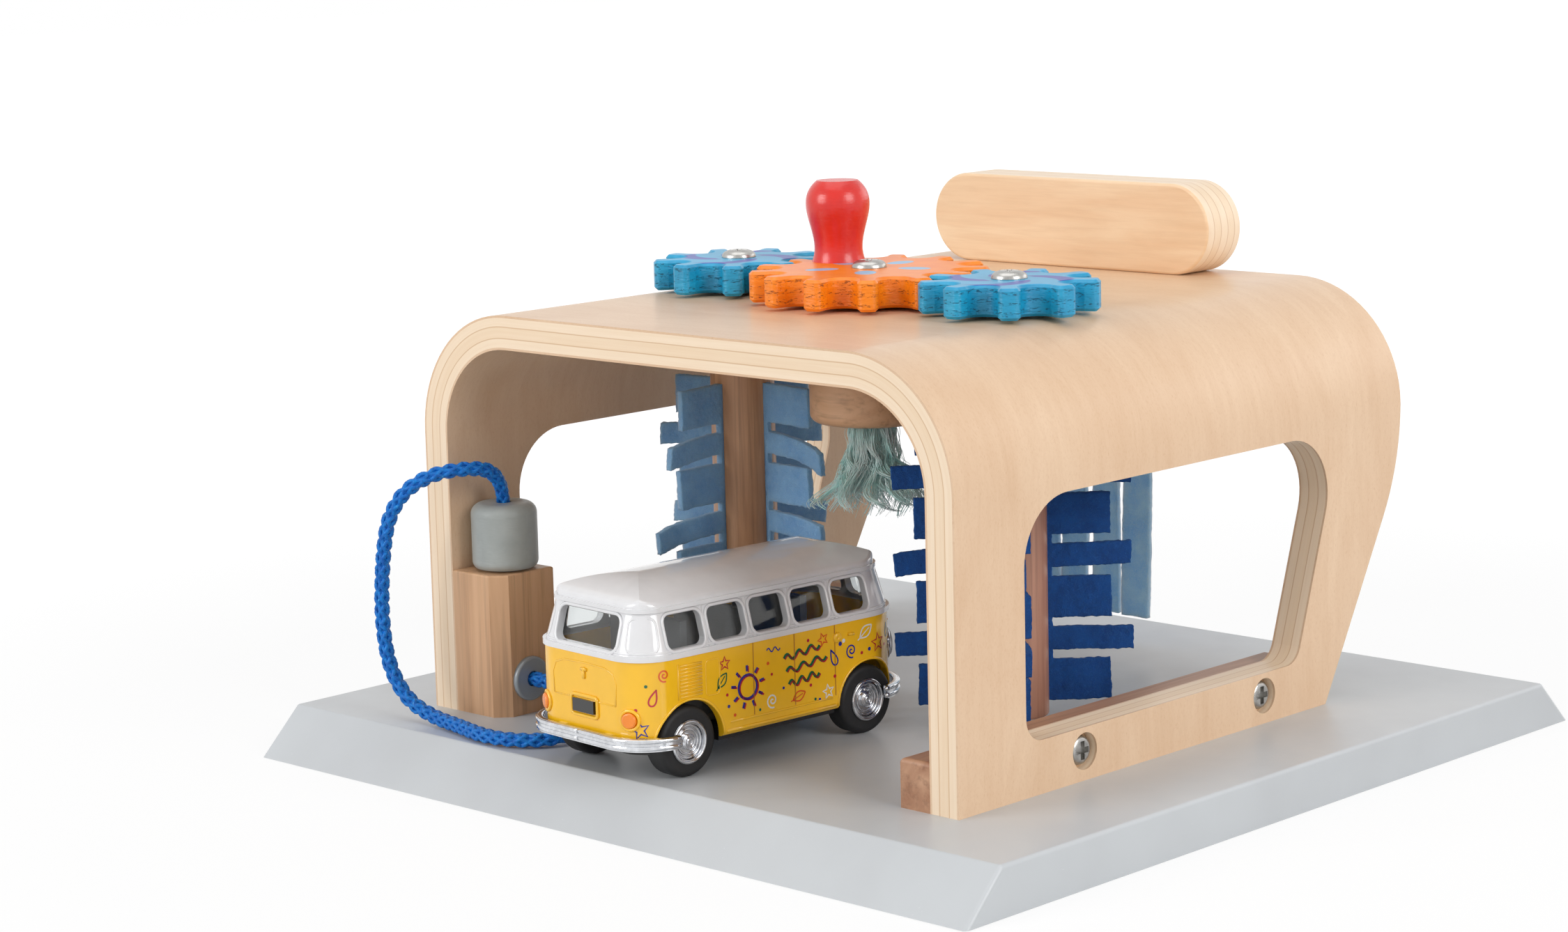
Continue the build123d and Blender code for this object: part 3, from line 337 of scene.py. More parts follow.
def felt(name, colour, dark, light, through=0.0):
    m = Mat(name, 0.95, Sheen_Weight=0.35, Sheen_Roughness=0.5, Sheen_Tint=light,
            Subsurface_Weight=through, Subsurface_Radius=(1, 1, 1), Subsurface_Scale=0.004)
    cloud = m.noise(m.co, 240, 4, 0.65)
    fuzz = m.noise(m.co, 1900, 3, 0.75, 2.0)
    base = m.mix(m.fade(cloud, 0.32, 0.68), dark, colour)
    base = m.tint(base, light, 0.5, fuzz, 0.5, 0.72)
    m.colour(m.tint(base, dark, 0.35, fuzz, 0.46, 0.28))
    m.bump(fuzz, 0.9, 0.0004)
    m.bump(cloud, 0.3, 0.0004)
    return m


def from_hub(m, cx):
    """Distances from a gear's axis along x and y, and 1 on its top face."""
    x, y, z = m.xyz()
    top_face = m.math("GREATER_THAN", z, (GEAR_TOP - 0.1) * MM)
    return m.sub(x, cx * MM), m.sub(y, GEAR_Y * MM), top_face


def blue_gear(name, cx):
    """Blue paint with curved stripes round the hub, and a top face painted lighter as if lit from
    above.
    """
    def top(m, base):
        dx, dy, up = from_hub(m, cx)
        r = m.hypot(dx, dy)
        twist = m.add(m.mul(m.math("ARCTAN2", dy, dx), 4.0), m.mul(r, 620.0))
        arm = m.step(m.math("SINE", twist), 0.2, 0.5)
        band = m.mul(m.step(r, 0.0040, 0.0046), m.inverse(m.step(r, 0.0106, 0.0116)))
        # painted highlight: the top face is made lighter than the sides, as overhead light would
        painted_lit_top = m.mix(m.mul(up, 0.6), base, rgb(66, 174, 218))
        swirl = m.mix(m.mul(m.mul(arm, band), up), painted_lit_top, rgb(52, 74, 166))
        if cx < 0:
            return swirl
        # a chip in the paint at the top edge of one tooth, down to the bare wood
        chip = (0.0462, -0.0163, 0.0868)
        away = m.node("VectorMath", {"operation": "DISTANCE"}, i0=m.co, i1=chip).outputs["Value"]
        rag = m.add(away, m.mul(m.sub(m.noise(m.co, 1500, 2), 0.5), 0.0009))
        return m.mix(m.inverse(m.step(rag, 0.00045, 0.00058)), swirl, rgb(196, 160, 120))
    return painted(name, rgb(26, 164, 208), rgb(12, 138, 184), 0.40, 0.9, top, rgb(6, 62, 96))


def orange_gear():
    """Orange paint with a ring of light oval dots round the hub."""
    ring, long, wide = 0.0085, 0.0030, 0.0019

    def top(m, base):
        dx, dy, up = from_hub(m, 0.0)
        mask = None
        for k in range(5):
            t = radians(20 + 72 * k)
            c, s = cos(t), sin(t)
            px, py = m.sub(dx, ring * c), m.sub(dy, ring * s)
            outward = m.add(m.mul(px, c), m.mul(py, s))
            aside = m.sub(m.mul(py, c), m.mul(px, s))
            q = m.hypot(m.math("DIVIDE", outward, long), m.math("DIVIDE", aside, wide))
            spot = m.inverse(m.step(q, 0.92, 1.05))
            mask = spot if mask is None else m.maximum(mask, spot)
        return m.mix(m.mul(mask, up), base, rgb(132, 184, 220))
    return painted("orange_paint", rgb(250, 142, 16), rgb(242, 126, 8), 0.38, 0.9, top,
                        rgb(150, 56, 8))


def glossy(name, colour, rough):
    m = Mat(name, rough, Coat_Weight=0.5, Coat_Roughness=0.05)
    m.colour(m.mix(m.fade(m.noise(m.co, 320, 2), 0.2, 0.9), dimmed(colour, 0.93), colour))
    m.bump(m.noise(m.co, 420, 2), 0.05, 0.0003)
    return m


def board_paint():
    m = Mat("painted_board", 0.36, Coat_Weight=0.12, Coat_Roughness=0.3)
    speck = m.inverse(m.step(m.voronoi(m.co, 700), 0.03, 0.11))
    keep = m.step(m.noise(m.co, 130, 1), 0.55, 0.65)
    cloud = m.fade(m.noise(m.co, 30, 3), 0.3, 0.7)
    base = m.mix(cloud, rgb(190, 193, 196), rgb(199, 203, 206))
    m.colour(m.mix(m.mul(m.mul(speck, keep), 0.35), base, rgb(226, 228, 230)))
    m.rough(m.add(0.30, m.mul(m.noise(m.co, 200, 2), 0.14)))
    m.bump(m.noise(m.co, 500, 3), 0.10, 0.0002)
    m.bump(m.noise(m.co, 60, 2), 0.06, 0.0004)
    return m


def rubber():
    m = Mat("tyre_rubber", 0.62)
    m.colour(m.mix(m.noise(m.co, 600, 3), rgb(16, 16, 17), rgb(30, 30, 32)))
    m.bump(m.noise(m.co, 1200, 3), 0.2, 0.0002)
    return m


def clear(name, tint, rough=0.03, weight=1.0):
    m = Mat(name, rough, Transmission_Weight=weight, IOR=1.45)
    m.colour(tint)
    m.bump(m.noise(m.co, 300, 2), 0.03, 0.0002)
    return m


STEEL = metal("steel_screw", rgb(190, 188, 184), 0.2)
CHROME = metal("bright_chrome", rgb(232, 234, 238), 0.07, 0.05, 0.02)
FELT_DARK = felt("dark_felt", rgb(12, 80, 156), rgb(8, 60, 126), rgb(52, 122, 196))
FELT_LIGHT = felt("light_felt", rgb(146, 194, 238), rgb(116, 166, 220), rgb(194, 222, 248), 0.5)
FELT_CURTAIN = felt("curtain_felt", rgb(174, 212, 252), rgb(130, 182, 242), rgb(226, 240, 254), 0.8)
BUS_YELLOW = glossy("bus_yellow", rgb(255, 197, 30), 0.18)
BUS_WHITE = glossy("bus_white", rgb(232, 232, 234), 0.16)

# a material and the solids that wear it
PAINT = (
    (STEEL, "board_screws arch_screws sign_screws knob_screw drive_gear_screw"
            " left_gear_screw right_gear_screw bus_front_axle bus_rear_axle"),
    (CHROME, "bus_front_bumper bus_rear_bumper bus_front_hubs bus_rear_hubs"),
    (BUS_YELLOW, "bus_lower_body"), (BUS_WHITE, "bus_upper_body"),
    (board_paint(), "base_board"), (bent_plywood(), "tunnel_arch"),
    (sign_plywood(), "sign_board"), (orange_gear(), "drive_gear"),
    (blue_gear("blue_paint_left", -GEAR_X), "left_brush_gear"),
    (blue_gear("blue_paint_right", GEAR_X), "right_brush_gear"),
    (rubber(), "bus_front_tyres bus_rear_tyres"),
    (wood("hardwood_cleat", rgb(196, 152, 120), rgb(160, 112, 82), "y"), "left_rail right_rail"),
    (wood("block_wood", rgb(224, 182, 142), rgb(200, 154, 114), "z"), "nozzle_block"),
    (wood("dark_post", rgb(212, 164, 124), rgb(160, 112, 78), "z"), "left_brush_post"),
    (wood("red_post", rgb(190, 140, 116), rgb(146, 98, 78), "z"), "right_brush_post"),
    (wood("beech_drum", rgb(222, 178, 138), rgb(194, 146, 106), "x"), "mop_drum"),
    (wood("batten_wood", rgb(196, 150, 116), rgb(160, 112, 80), "x"), "curtain_batten"),
    (painted("grey_paint", rgb(170, 175, 172), rgb(156, 161, 158), 0.45, 0.6), "nozzle_body"),
    (painted("grey_pin_paint", rgb(166, 173, 170), rgb(150, 157, 154), 0.45, 0.6), "nozzle_pin"),
    (painted("red_paint", rgb(222, 42, 30), rgb(208, 32, 26), 0.26, 0.35), "crank_knob"),
    (painted("grey_interior", rgb(120, 122, 126), rgb(100, 102, 106), 0.5, 0.2), "bus_seats"),
    (painted("black_base", rgb(24, 24, 25), rgb(16, 16, 17), 0.45, 0.2), "bus_chassis"),
    (glossy("grey_gland", rgb(150, 158, 164), 0.35), "rope_plug"),
    (glossy("orange_lamp", rgb(250, 140, 30), 0.15), "bus_rear_lamps"),
    (glossy("plate_black", rgb(28, 27, 26), 0.3), "bus_rear_plate"),
    (clear("clear_glazing", (0.93, 0.95, 0.95, 1)), "bus_glazing"),
    (clear("clear_lamp", (0.95, 0.96, 0.97, 1), 0.08, 0.6), "bus_headlamps"),
    (clear("clear_washer", (0.9, 0.92, 0.93, 1), 0.25, 0.7), "gear_washers"),
)
for material, nodes in PAINT:
    for node in nodes.split():
        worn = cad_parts[node].data.materials
        worn.clear()
        worn.append(material.m)


# ---- mesh helpers
def new_mesh(name, verts, faces, material, body):
    data = bpy.data.meshes.new(name)
    data.from_pydata([tuple(v) for v in verts], [], faces)
    data.update()
    data.polygons.foreach_set("use_smooth", [True] * len(data.polygons))
    data.materials.append(material.m)
    o = linked(name, data)
    if body:
        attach(o, body)
    return o


def evaluated_mesh(o):
    """A mesh of the object with its modifiers, or of a curve's line."""
    bpy.context.view_layer.update()
    deps = bpy.context.evaluated_depsgraph_get()
    return bpy.data.meshes.new_from_object(o.evaluated_get(deps))


def thicken_felt(o, thickness, even, ripples):
    """Gives a flat sheet its thickness and slight ripples, a little new at each run."""
    thick = o.modifiers.new("thick", "SOLIDIFY")
    thick.thickness = thickness * MM
    thick.offset = 0.0
    thick.use_even_offset = even
    smooth = o.modifiers.new("smooth", "SUBSURF")
    smooth.levels = smooth.render_levels = 2
    smooth.subdivision_type = "SIMPLE"
    data = evaluated_mesh(o)
    o.modifiers.clear()
    o.data = data
    (f1, s1), (f2, s2) = ripples
    for v in data.vertices:
        v.co += noise.noise_vector(v.co * f1) * s1 + noise.noise_vector(v.co * f2) * s2
    data.polygons.foreach_set("use_smooth", [True] * len(data.polygons))


def angles(n):
    return [2 * pi * k / n for k in range(n)]


def between(a, b, n, flip=False):
    """Faces between two rings of n points, which start at a and at b."""
    quads = [(a + k, a + (k + 1) % n, b + (k + 1) % n, b + k) for k in range(n)]
    return [q[:1] + q[:0:-1] for q in quads] if flip else quads


def ends(first, last, n):
    """The two faces that close a tube."""
    return [tuple(range(first, first + n))[::-1], tuple(range(last, last + n))]


def frames_along(points):
    """Tangent and two normals at each point, turned as little as possible."""
    tangents = []
    for i in range(len(points)):
        a, b = points[max(i - 1, 0)], points[min(i + 1, len(points) - 1)]
        tangents.append((b - a).normalized())
    side = tangents[0].orthogonal().normalized()
    out = []
    for t in tangents:
        side = (side - t * side.dot(t)).normalized()
        out.append((t, side, t.cross(side)))
    return out


def tube(points, radii, sides, verts, faces):
    """Adds a closed tube along the points to the lists."""
    base = len(verts)
    last = base + (len(points) - 1) * sides
    for p, r, (t, u, v) in zip(points, radii, frames_along(points)):
        verts += [p + (u * cos(a) + v * sin(a)) * r for a in angles(sides)]
    for start in range(base, last, sides):
        faces += between(start, start + sides, sides)
    faces += ends(base, last, sides)


# ---- rope
BLOCK_FACE, GLAND_PROUD, ROPE_SEAT, ROPE_RADIUS = -44.5, 0.9, 1.5, 1.35
ROPE_STEPS = 760
CARRIERS, BRAID_PITCH = 4, 0.0098
STRAND_RADIUS, STRAND_RING, STRAND_WEAVE, CORE_RADIUS = 0.00042, 0.00084, 0.00015, 0.00078


# offsets from the gland, from the gland and the board's top, and from the nozzle's tail
FROM_GLAND = ((0, 0, 0), (5.2, 0, 0), (10.6, 0.1, -0.2), (16.2, -0.3, -1.0), (21.4, -3.2, -2.8))
OVER_BOARD = (
    (23.8, -9.0, 0.7), (22.4, -15.2, 0), (17.6, -19.6, 0), (10.6, -20.5, 0), (2.8, -18.5, 0),
    (-5.4, -17.1, 0), (-12.2, -17.6, 2.1), (-16.0, -18.4, 7.6), (-16.8, -19.0, 14.8),
    (-16.4, -19.2, 22.4), (-15.0, -19.4, 30.2),
)
TO_NOZZLE = (
    (-8.2, -19.6, -0.5), (-5.4, -18.0, 4.2), (-2.1, -14.4, 6.8), (0.9, -9.4, 7.4),
    (1.2, -4.2, 6.6), (0.4, -0.9, 3.7), (0, 0, 0.4), (0, 0, -1.5),
)


def rope_route():
    """Control points: out of the gland, round over the board and up into the nozzle's tail."""
    x, y = BLOCK_FACE + GLAND_PROUD - ROPE_SEAT, -53.2
    legs = (((x, y, 14.7), FROM_GLAND), ((x, y, BOARD_TOP + ROPE_RADIUS + 0.05), OVER_BOARD),
            ((-50.1, -53.0, 46.05), TO_NOZZLE))
    return [[(a + b) * MM for a, b in zip(place, offset)]
            for place, leg in legs for offset in leg]


def spline_points(route):
    """Points of a smooth line through the route's control points."""
    data = bpy.data.curves.new("rope_line", "CURVE")
    data.dimensions = "3D"
    spline = data.splines.new("NURBS")
    spline.points.add(len(route) - 1)
    for point, place in zip(spline.points, route):
        point.co = (*place, 1)
    spline.order_u = 3
    spline.use_endpoint_u = True
    spline.resolution_u = 24
    line = linked("rope_line", data)
    points = [v.co.copy() for v in evaluated_mesh(line).vertices]
    bpy.data.objects.remove(line)
    return points


def even_steps(points, count):
    """The same line in steps of one length, and its whole length."""
    lengths = [0.0]
    for a, b in zip(points, points[1:]):
        lengths.append(lengths[-1] + (b - a).length)
    total = lengths[-1]
    path, j = [], 0
    for i in range(count + 1):
        want = total * i / count
        while j < len(lengths) - 2 and lengths[j + 1] < want:
            j += 1
        share = (want - lengths[j]) / max(lengths[j + 1] - lengths[j], 1e-12)
        path.append(points[j].lerp(points[j + 1], min(share, 1.0)))
    return path, total


def rope_paint():
    m = Mat("blue_rope", 0.45, Sheen_Weight=0.05, Specular_IOR_Level=0.3)
    fleck = m.fade(m.noise(m.co, 1300, 3, 0.6), 0.35, 0.7)
    # painted glints: scattered light cyan spots stand in for highlights on the braid
    painted_glint = m.step(m.voronoi(m.co, 620), 0.16, 0.05)
    base = m.mix(fleck, rgb(0, 92, 180), rgb(10, 130, 216))
    m.colour(m.mix(m.mul(painted_glint, 0.5), base, rgb(90, 190, 235)))
    m.bump(m.noise(m.co, 3200, 2, 0.6), 0.5, 0.0002)
    return m


def make_rope():
    """A tubular braid: half of the strands turn left and half right, over and under."""
    path, total = even_steps(spline_points(rope_route()), ROPE_STEPS)
    axes = frames_along(path)
    verts, faces = [], []
    step = total / ROPE_STEPS
    for k in range(2 * CARRIERS):
        hand = 1 if k < CARRIERS else -1
        phase = 2 * pi * (k % CARRIERS) / CARRIERS + (0.39 if hand < 0 else 0)
        strand = []
        for i, (p, (t, u, v)) in enumerate(zip(path, axes)):
            s = i * step
            a = hand * 2 * pi * s / BRAID_PITCH + phase
            weave = sin(CARRIERS * (a * hand) + (pi if hand < 0 else 0))
            r = STRAND_RING + STRAND_WEAVE * weave
            strand.append(p + (u * cos(a) + v * sin(a)) * r)
        tube(strand[::2], [STRAND_RADIUS] * len(strand), 6, verts, faces)
    tube(path[::4], [CORE_RADIUS] * len(path), 8, verts, faces)
    rope = new_mesh("braided_rope", verts, faces, rope_paint(), None)
    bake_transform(rope)
    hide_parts("hose_rope")


make_rope()


# ---- felt combs
COMB_LOW, WIDE_TALL, NARROW_TALL, TAB_GAP = 13.6, 7.1, 3.95, 1.725
COMB_ROOT, SPINE, WIDE_REACH, NARROW_REACH = 3.2, 6.6, 16.8, 20.3


def comb_tabs():
    """Low edge, high edge, reach and whether narrow, for each tab from the lowest up."""
    low, tabs = COMB_LOW, []
    for index in range(4):
        tabs.append((low, low + WIDE_TALL, WIDE_REACH, False))
        low += WIDE_TALL + TAB_GAP
        if index < 3:
            tabs.append((low, low + NARROW_TALL, NARROW_REACH, True))
            low += NARROW_TALL + TAB_GAP
    return tabs


def make_comb(node, cx, angle, material, body, seed, bend, droop, jitter):
    """A felt sheet cut into tabs, each of them drooping and curling in its own way."""
    rng = random.Random(seed)
    tabs = comb_tabs()
    levels = []
    for index, (low, high, reach, narrow) in enumerate(tabs):
        rows = 3 if narrow else 5
        levels += [(low + (high - low) * k / rows, index) for k in range(rows)]
        levels.append((high, index))
    columns = [COMB_ROOT, 5.2, SPINE]
    columns += [SPINE + (WIDE_REACH - SPINE) * k / 8 for k in range(1, 9)]
    columns += [18.0, 19.2, NARROW_REACH]
    sway = [rng.gauss(0, bend) * (1.0 if t[3] else 0.35) for t in tabs]
    drop = [abs(rng.gauss(0, droop)) * (1.7 if t[3] else 0.35) for t in tabs]
    curl = [rng.gauss(0, bend * 0.5) for _ in tabs]
    cut = [(rng.gauss(0, jitter), rng.gauss(0, jitter)) for _ in tabs]
    verts, faces, keys = [], [], {}
    for i, (z, tab) in enumerate(levels):
        low, high, reach, narrow = tabs[tab]
        for j, r in enumerate(columns):
            if r > reach + 0.01:
                continue
            out = max(r - SPINE, 0.0)
            tail = out / (reach - SPINE)
            tip = r + tail * (cut[tab][0] + cut[tab][1] * (z - low) / (high - low))
            side = sway[tab] * (out / 10) ** 2 + curl[tab] * sin(out * 0.55) * tail
            height = z - drop[tab] * (out / 10) ** 2 + (cut[tab][1] * 0.4 * tail)
            keys[i, j] = len(verts)
            verts.append(Vector((tip, side, height)))
    for i in range(len(levels) - 1):
        same = levels[i][1] == levels[i + 1][1]
        for j in range(len(columns) - 1):
            quad = [(i, j), (i, j + 1), (i + 1, j + 1), (i + 1, j)]
            in_spine = columns[j + 1] <= SPINE + 0.01
            if all(q in keys for q in quad) and (same or in_spine):
                faces.append(tuple(keys[q] for q in quad))
    turn = Matrix.Rotation(radians(angle), 3, "Z")
    placed = [(turn @ v + Vector((cx, GEAR_Y, 0))) * MM for v in verts]
    o = new_mesh(node.replace("felt_comb", "brush_felt"), placed, faces, material, None)
    thicken_felt(o, 1.15, True, ((1500, 0.00014), (500, 0.00010)))
    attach(o, body)
    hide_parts(node)
    return o


for i in range(4):
    comb = make_comb(f"left_felt_comb_{i + 1}", -GEAR_X, 90 * i, FELT_LIGHT,
                     "left_brush", 11 + i, 0.75, 0.55, 0.3)
    if i == 0:
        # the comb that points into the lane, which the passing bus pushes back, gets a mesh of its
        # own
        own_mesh(comb)
    make_comb(f"right_felt_comb_{i + 1}", GEAR_X, 48 + 90 * i, FELT_DARK,
              "right_brush", 31 + i, 0.4, 0.12, 0.15)


# ---- curtain
STRIP_WIDTH, STRIP_PITCH, CURTAIN_X, CURTAIN_Y = 6.0, 7.6, -3.2, 54.5
CURTAIN_TOP, HEADER_LOW, CURTAIN_LOW = 72.3, 63.3, 14.5


def make_curtain():
    """One felt sheet whose four strips hang with slight waves."""
    rng = random.Random(5)
    total = 3 * STRIP_PITCH + STRIP_WIDTH
    left = CURTAIN_X - total / 2
    drop = HEADER_LOW - CURTAIN_LOW
    xs = []
    for k in range(4):
        xs += [left + k * STRIP_PITCH + STRIP_WIDTH * j / 3 for j in range(4)]
    zs = [CURTAIN_TOP, 70.2, 68.3, 66.6, HEADER_LOW]
    header_rows = len(zs) - 1
    zs += [HEADER_LOW - drop * k / 20 for k in range(1, 21)]
    phase = [rng.uniform(0, 6) for _ in range(4)]
    amp = [rng.uniform(0.25, 0.6) for _ in range(4)]
    slant = [rng.gauss(0, 0.5) for _ in range(4)]
    verts, faces = [], []
    for z in zs:
        fall = max(HEADER_LOW - z, 0) / drop
        for j, x in enumerate(xs):
            k = j // 4
            across = (j % 4 - 1.5) / 1.5
            wave = amp[k] * sin(phase[k] + fall * 5.2) * min(fall * 3, 1)
            twist = 0.35 * across * sin(phase[k] * 2 + fall * 4) * fall
            verts.append(Vector((x + slant[k] * fall, CURTAIN_Y + wave + twist, z)) * MM)
    for i in range(len(zs) - 1):
        for j in range(len(xs) - 1):
            if j % 4 == 3 and i >= header_rows:
                continue
            a = i * len(xs) + j
            faces.append((a, a + 1, a + len(xs) + 1, a + len(xs)))
    o = new_mesh("curtain_felt", verts, faces, FELT_CURTAIN, None)
    thicken_felt(o, 1.1, False, ((1200, 0.0001), (300, 0.00012)))
    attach(o, "playset")
    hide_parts("curtain_strips")


make_curtain()


# ---- mop
MOP_TOP, MOP_LOW, MOP_REACH, MOP_NECK = 59.7, 43.3, 12.0, 2.75
MOP_LOCKS, YARN_STEPS, YARN_START = 46, 34, -0.3
MOP_ENVELOPE = [
    (-0.3, 2.5), (0.0, 3.3), (0.06, 4.0), (0.16, 4.5), (0.3, 4.5), (0.42, 4.4),
    (0.52, 5.2), (0.64, 7.4), (0.78, 10.2), (0.9, 11.5), (1.0, 11.3),
]


def mop_radius(f):
    """The tuft's radius at a share of its height, from the top."""
    for (a, ra), (b, rb) in zip(MOP_ENVELOPE, MOP_ENVELOPE[1:]):
        if f <= b:
            return ra + (rb - ra) * (f - a) / (b - a)
    return MOP_ENVELOPE[-1][1]


def yarn_paint():
    m = Mat("mint_yarn", 0.26, Sheen_Weight=1.0, Sheen_Roughness=0.5,
            Subsurface_Weight=0.2, Subsurface_Radius=(1, 1, 1), Subsurface_Scale=0.004)
    cloud = m.fade(m.noise(m.co, 260, 3), 0.3, 0.7)
    m.colour(m.mix(cloud, rgb(176, 242, 236), rgb(240, 255, 253)))
    m.bump(m.noise(m.scaled(1, 1, 0.2), 4000, 2), 0.3, 0.0001)
    return m


def make_mop():
    """A tuft of long crimped yarn: bound at the top, loose and curly at the hem."""
    rng = random.Random(77)
    verts, faces = [], []
    height = MOP_TOP - MOP_LOW
    for lock in range(MOP_LOCKS):
        a0 = 2 * pi * (lock * 0.618) + rng.gauss(0, 0.12)
        deep = sqrt((lock + 0.6) / MOP_LOCKS)
        lean = rng.gauss(0, 0.35)
        swing, rate, ph = rng.uniform(0.9, 1.9), rng.uniform(1.3, 2.4), rng.uniform(0, 6.28)
        end = rng.uniform(0.86, 1.0)
        for s in range(14 if lock % 5 else 18):
            loose = s > 8
            off = rng.uniform(0.1, 0.85) * (2.4 if loose else 1.0)
            turn = rng.uniform(0, 6.28)
            stop = end * rng.uniform(0.86, 1.0)
            fine, quick, fph = rng.uniform(0.05, 0.2), rng.uniform(3, 7), rng.uniform(0, 6.28)
            path = []
            for i in range(YARN_STEPS + 1):
                f = YARN_START + (stop - YARN_START) * i / YARN_STEPS
                g = max(f, 0.0)
                grow = min(g * 2.2, 1)
                crimp, small = rate * f * 6.28 + ph, quick * f * 6.28 + fph
                a = a0 + lean * g ** 1.5 + 0.16 * swing * sin(crimp) * grow
                r = mop_radius(f) * deep
                r += (0.45 + 0.35 * g) * swing * cos(crimp) * grow
                spread = off * (0.45 + 0.9 * g)
                x = r * cos(a) + spread * cos(turn + 2.2 * g)
                y = r * sin(a) + spread * sin(turn + 2.2 * g)
                x += fine * grow * cos(small)
                y += fine * grow * sin(small)
                far = max(hypot(x, y), 1e-6)
                room = min((MOP_REACH if f > 0.03 else MOP_NECK) / far, 1.0)
                lift = (0.25 + 0.6 * max(g - 0.6, 0)) * swing * sin(crimp) * grow
                z = max(min(MOP_TOP - f * height + lift, MOP_TOP + 5.5), MOP_LOW)
                path.append(Vector((x * room, y * room + GEAR_Y, z)) * MM)
            width = rng.uniform(0.045, 0.07) if loose else rng.uniform(0.08, 0.13)
            shares = [1 - 0.45 * (i / YARN_STEPS) ** 3 for i in range(YARN_STEPS + 1)]
            tube(path, [width * MM * share for share in shares], 4, verts, faces)
    o = new_mesh("mop_strands", verts, faces, yarn_paint(), "crank")
    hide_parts("mop_yarn")


make_mop()


# ---- pan heads
HEAD_RISE, HEAD_RINGS, SLOT_DEPTH = 1.3, 30, 0.9


def cross_recess(x, y):
    """1 inside the cross recess, which stands a little askew, and 0 outside."""
    u, v = abs(x * 0.8 + y * 0.6), abs(y * 0.8 - x * 0.6)
    wall_share = min(max(0.42 - min(u, v), 0) / 0.2, 1)
    return wall_share * min(max(1.65 - max(u, v), 0) / 0.3, 1)


def make_pan_head(node, body):
    """A low domed head with a cross recess, on a plain shank."""
    (x0, y0, z0), (x1, y1, z1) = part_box(node)
    cx, cy = (x0 + x1) / 2 / MM, (y0 + y1) / 2 / MM
    radius, top = (x1 - x0) / 2 / MM, z1 / MM
    verts, faces = [], []
    sides = 72
    rings = [0.0] + [radius * (k / HEAD_RINGS) ** 0.9 for k in range(1, HEAD_RINGS + 1)]
    for j, r in enumerate(rings):
        for a in angles(sides if j else 1):
            x, y = r * cos(a), r * sin(a)
            z = top - HEAD_RISE * (1 - sqrt(max(1 - (r / radius) ** 3.4, 0)))
            verts.append(Vector((cx + x, cy + y, z - SLOT_DEPTH * cross_recess(x, y))) * MM)
    for k in range(sides):
        faces.append((0, 1 + k, 1 + (k + 1) % sides))
    rim = 1 + (len(rings) - 2) * sides
    low = len(verts)
    for start in range(1, rim, sides):
        faces += between(start, start + sides, sides, flip=True)
    under, shank = top - HEAD_RISE - 0.15, radius * 0.55
    for r, z in ((radius, under), (shank, under), (shank, z0 / MM)):
        for a in angles(sides):
            verts.append(Vector((cx + r * cos(a), cy + r * sin(a), z)) * MM)
    for a, b in ((rim, low), (low, low + sides), (low + sides, low + 2 * sides)):
        faces += between(a, b, sides, flip=True)
    faces.append(ends(low + 2 * sides, 0, sides)[0])
    o = new_mesh(node + "_pan", verts, faces, STEEL, body)
    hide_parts(node)


for side, body in (("drive", "crank"), ("left", "left_brush"), ("right", "right_brush")):
    make_pan_head(side + "_gear_screw", body)


# ---- minibus trim
# The bus's own frame has its tail at -y; its skin is a rounded plan that leans in above the belt
BUS = Matrix.Translation((-0.002, -0.0465, 0.00835)) @ Matrix.Rotation(radians(-4), 4, "Z")
HALF, REAR, FRONT, R_REAR, R_FRONT = 14.5, -30.75, 30.25, 6.5, 9.5
BELT, GUTTER, LEAN = 20.6, 28.6, 2.3
WHEEL_Y, WHEEL_Z, WHEEL_ARCH = 20.25, 6.0, 7.32
WINDOW_Z, WINDOW_PITCH = 24.75, 9.3
# distances round the plan: the ends of the tail, its corner, the side and the nose's corner
S1 = HALF - R_REAR
S2 = S1 + R_REAR * pi / 2
S3 = S2 + FRONT - R_FRONT - REAR - R_REAR
S4 = S3 + R_FRONT * pi / 2
S5 = S4 + HALF - R_FRONT


def wall(s, z, lift=0.0):
    """A point of the skin: s runs round the plan from the middle of the tail, + on the right."""
    side, s = (1 if s >= 0 else -1), abs(s)
    inset = LEAN * min(max((z - BELT) / (GUTTER - BELT), 0), 1) - lift
    if s < S1:
        x, y = s, REAR + inset
    elif s < S2:
        a, r = (s - S1) / R_REAR, R_REAR - inset
        x, y = S1 + r * sin(a), REAR + R_REAR - r * cos(a)
    elif s < S3:
        x, y = HALF - inset, REAR + R_REAR + s - S2
    elif s < S4:
        a, r = (s - S3) / R_FRONT, R_FRONT - inset
        x, y = HALF - R_FRONT + r * cos(a), FRONT - R_FRONT + r * sin(a)
    else:
        x, y = S5 - s, FRONT - inset
    return Vector((side * x, y, z))


def along(y):
    """The s of a place on the right side, corners included."""
    if y > FRONT - R_FRONT:
        return S3 + R_FRONT * asin(min((y - FRONT + R_FRONT) / R_FRONT, 1))
    if y < REAR + R_REAR:
        return S2 - R_REAR * asin(min((REAR + R_REAR - y) / R_REAR, 1))
    return S2 + y - REAR - R_REAR


def on_side(z, *places):
    return [(along(y), z) for y in places]


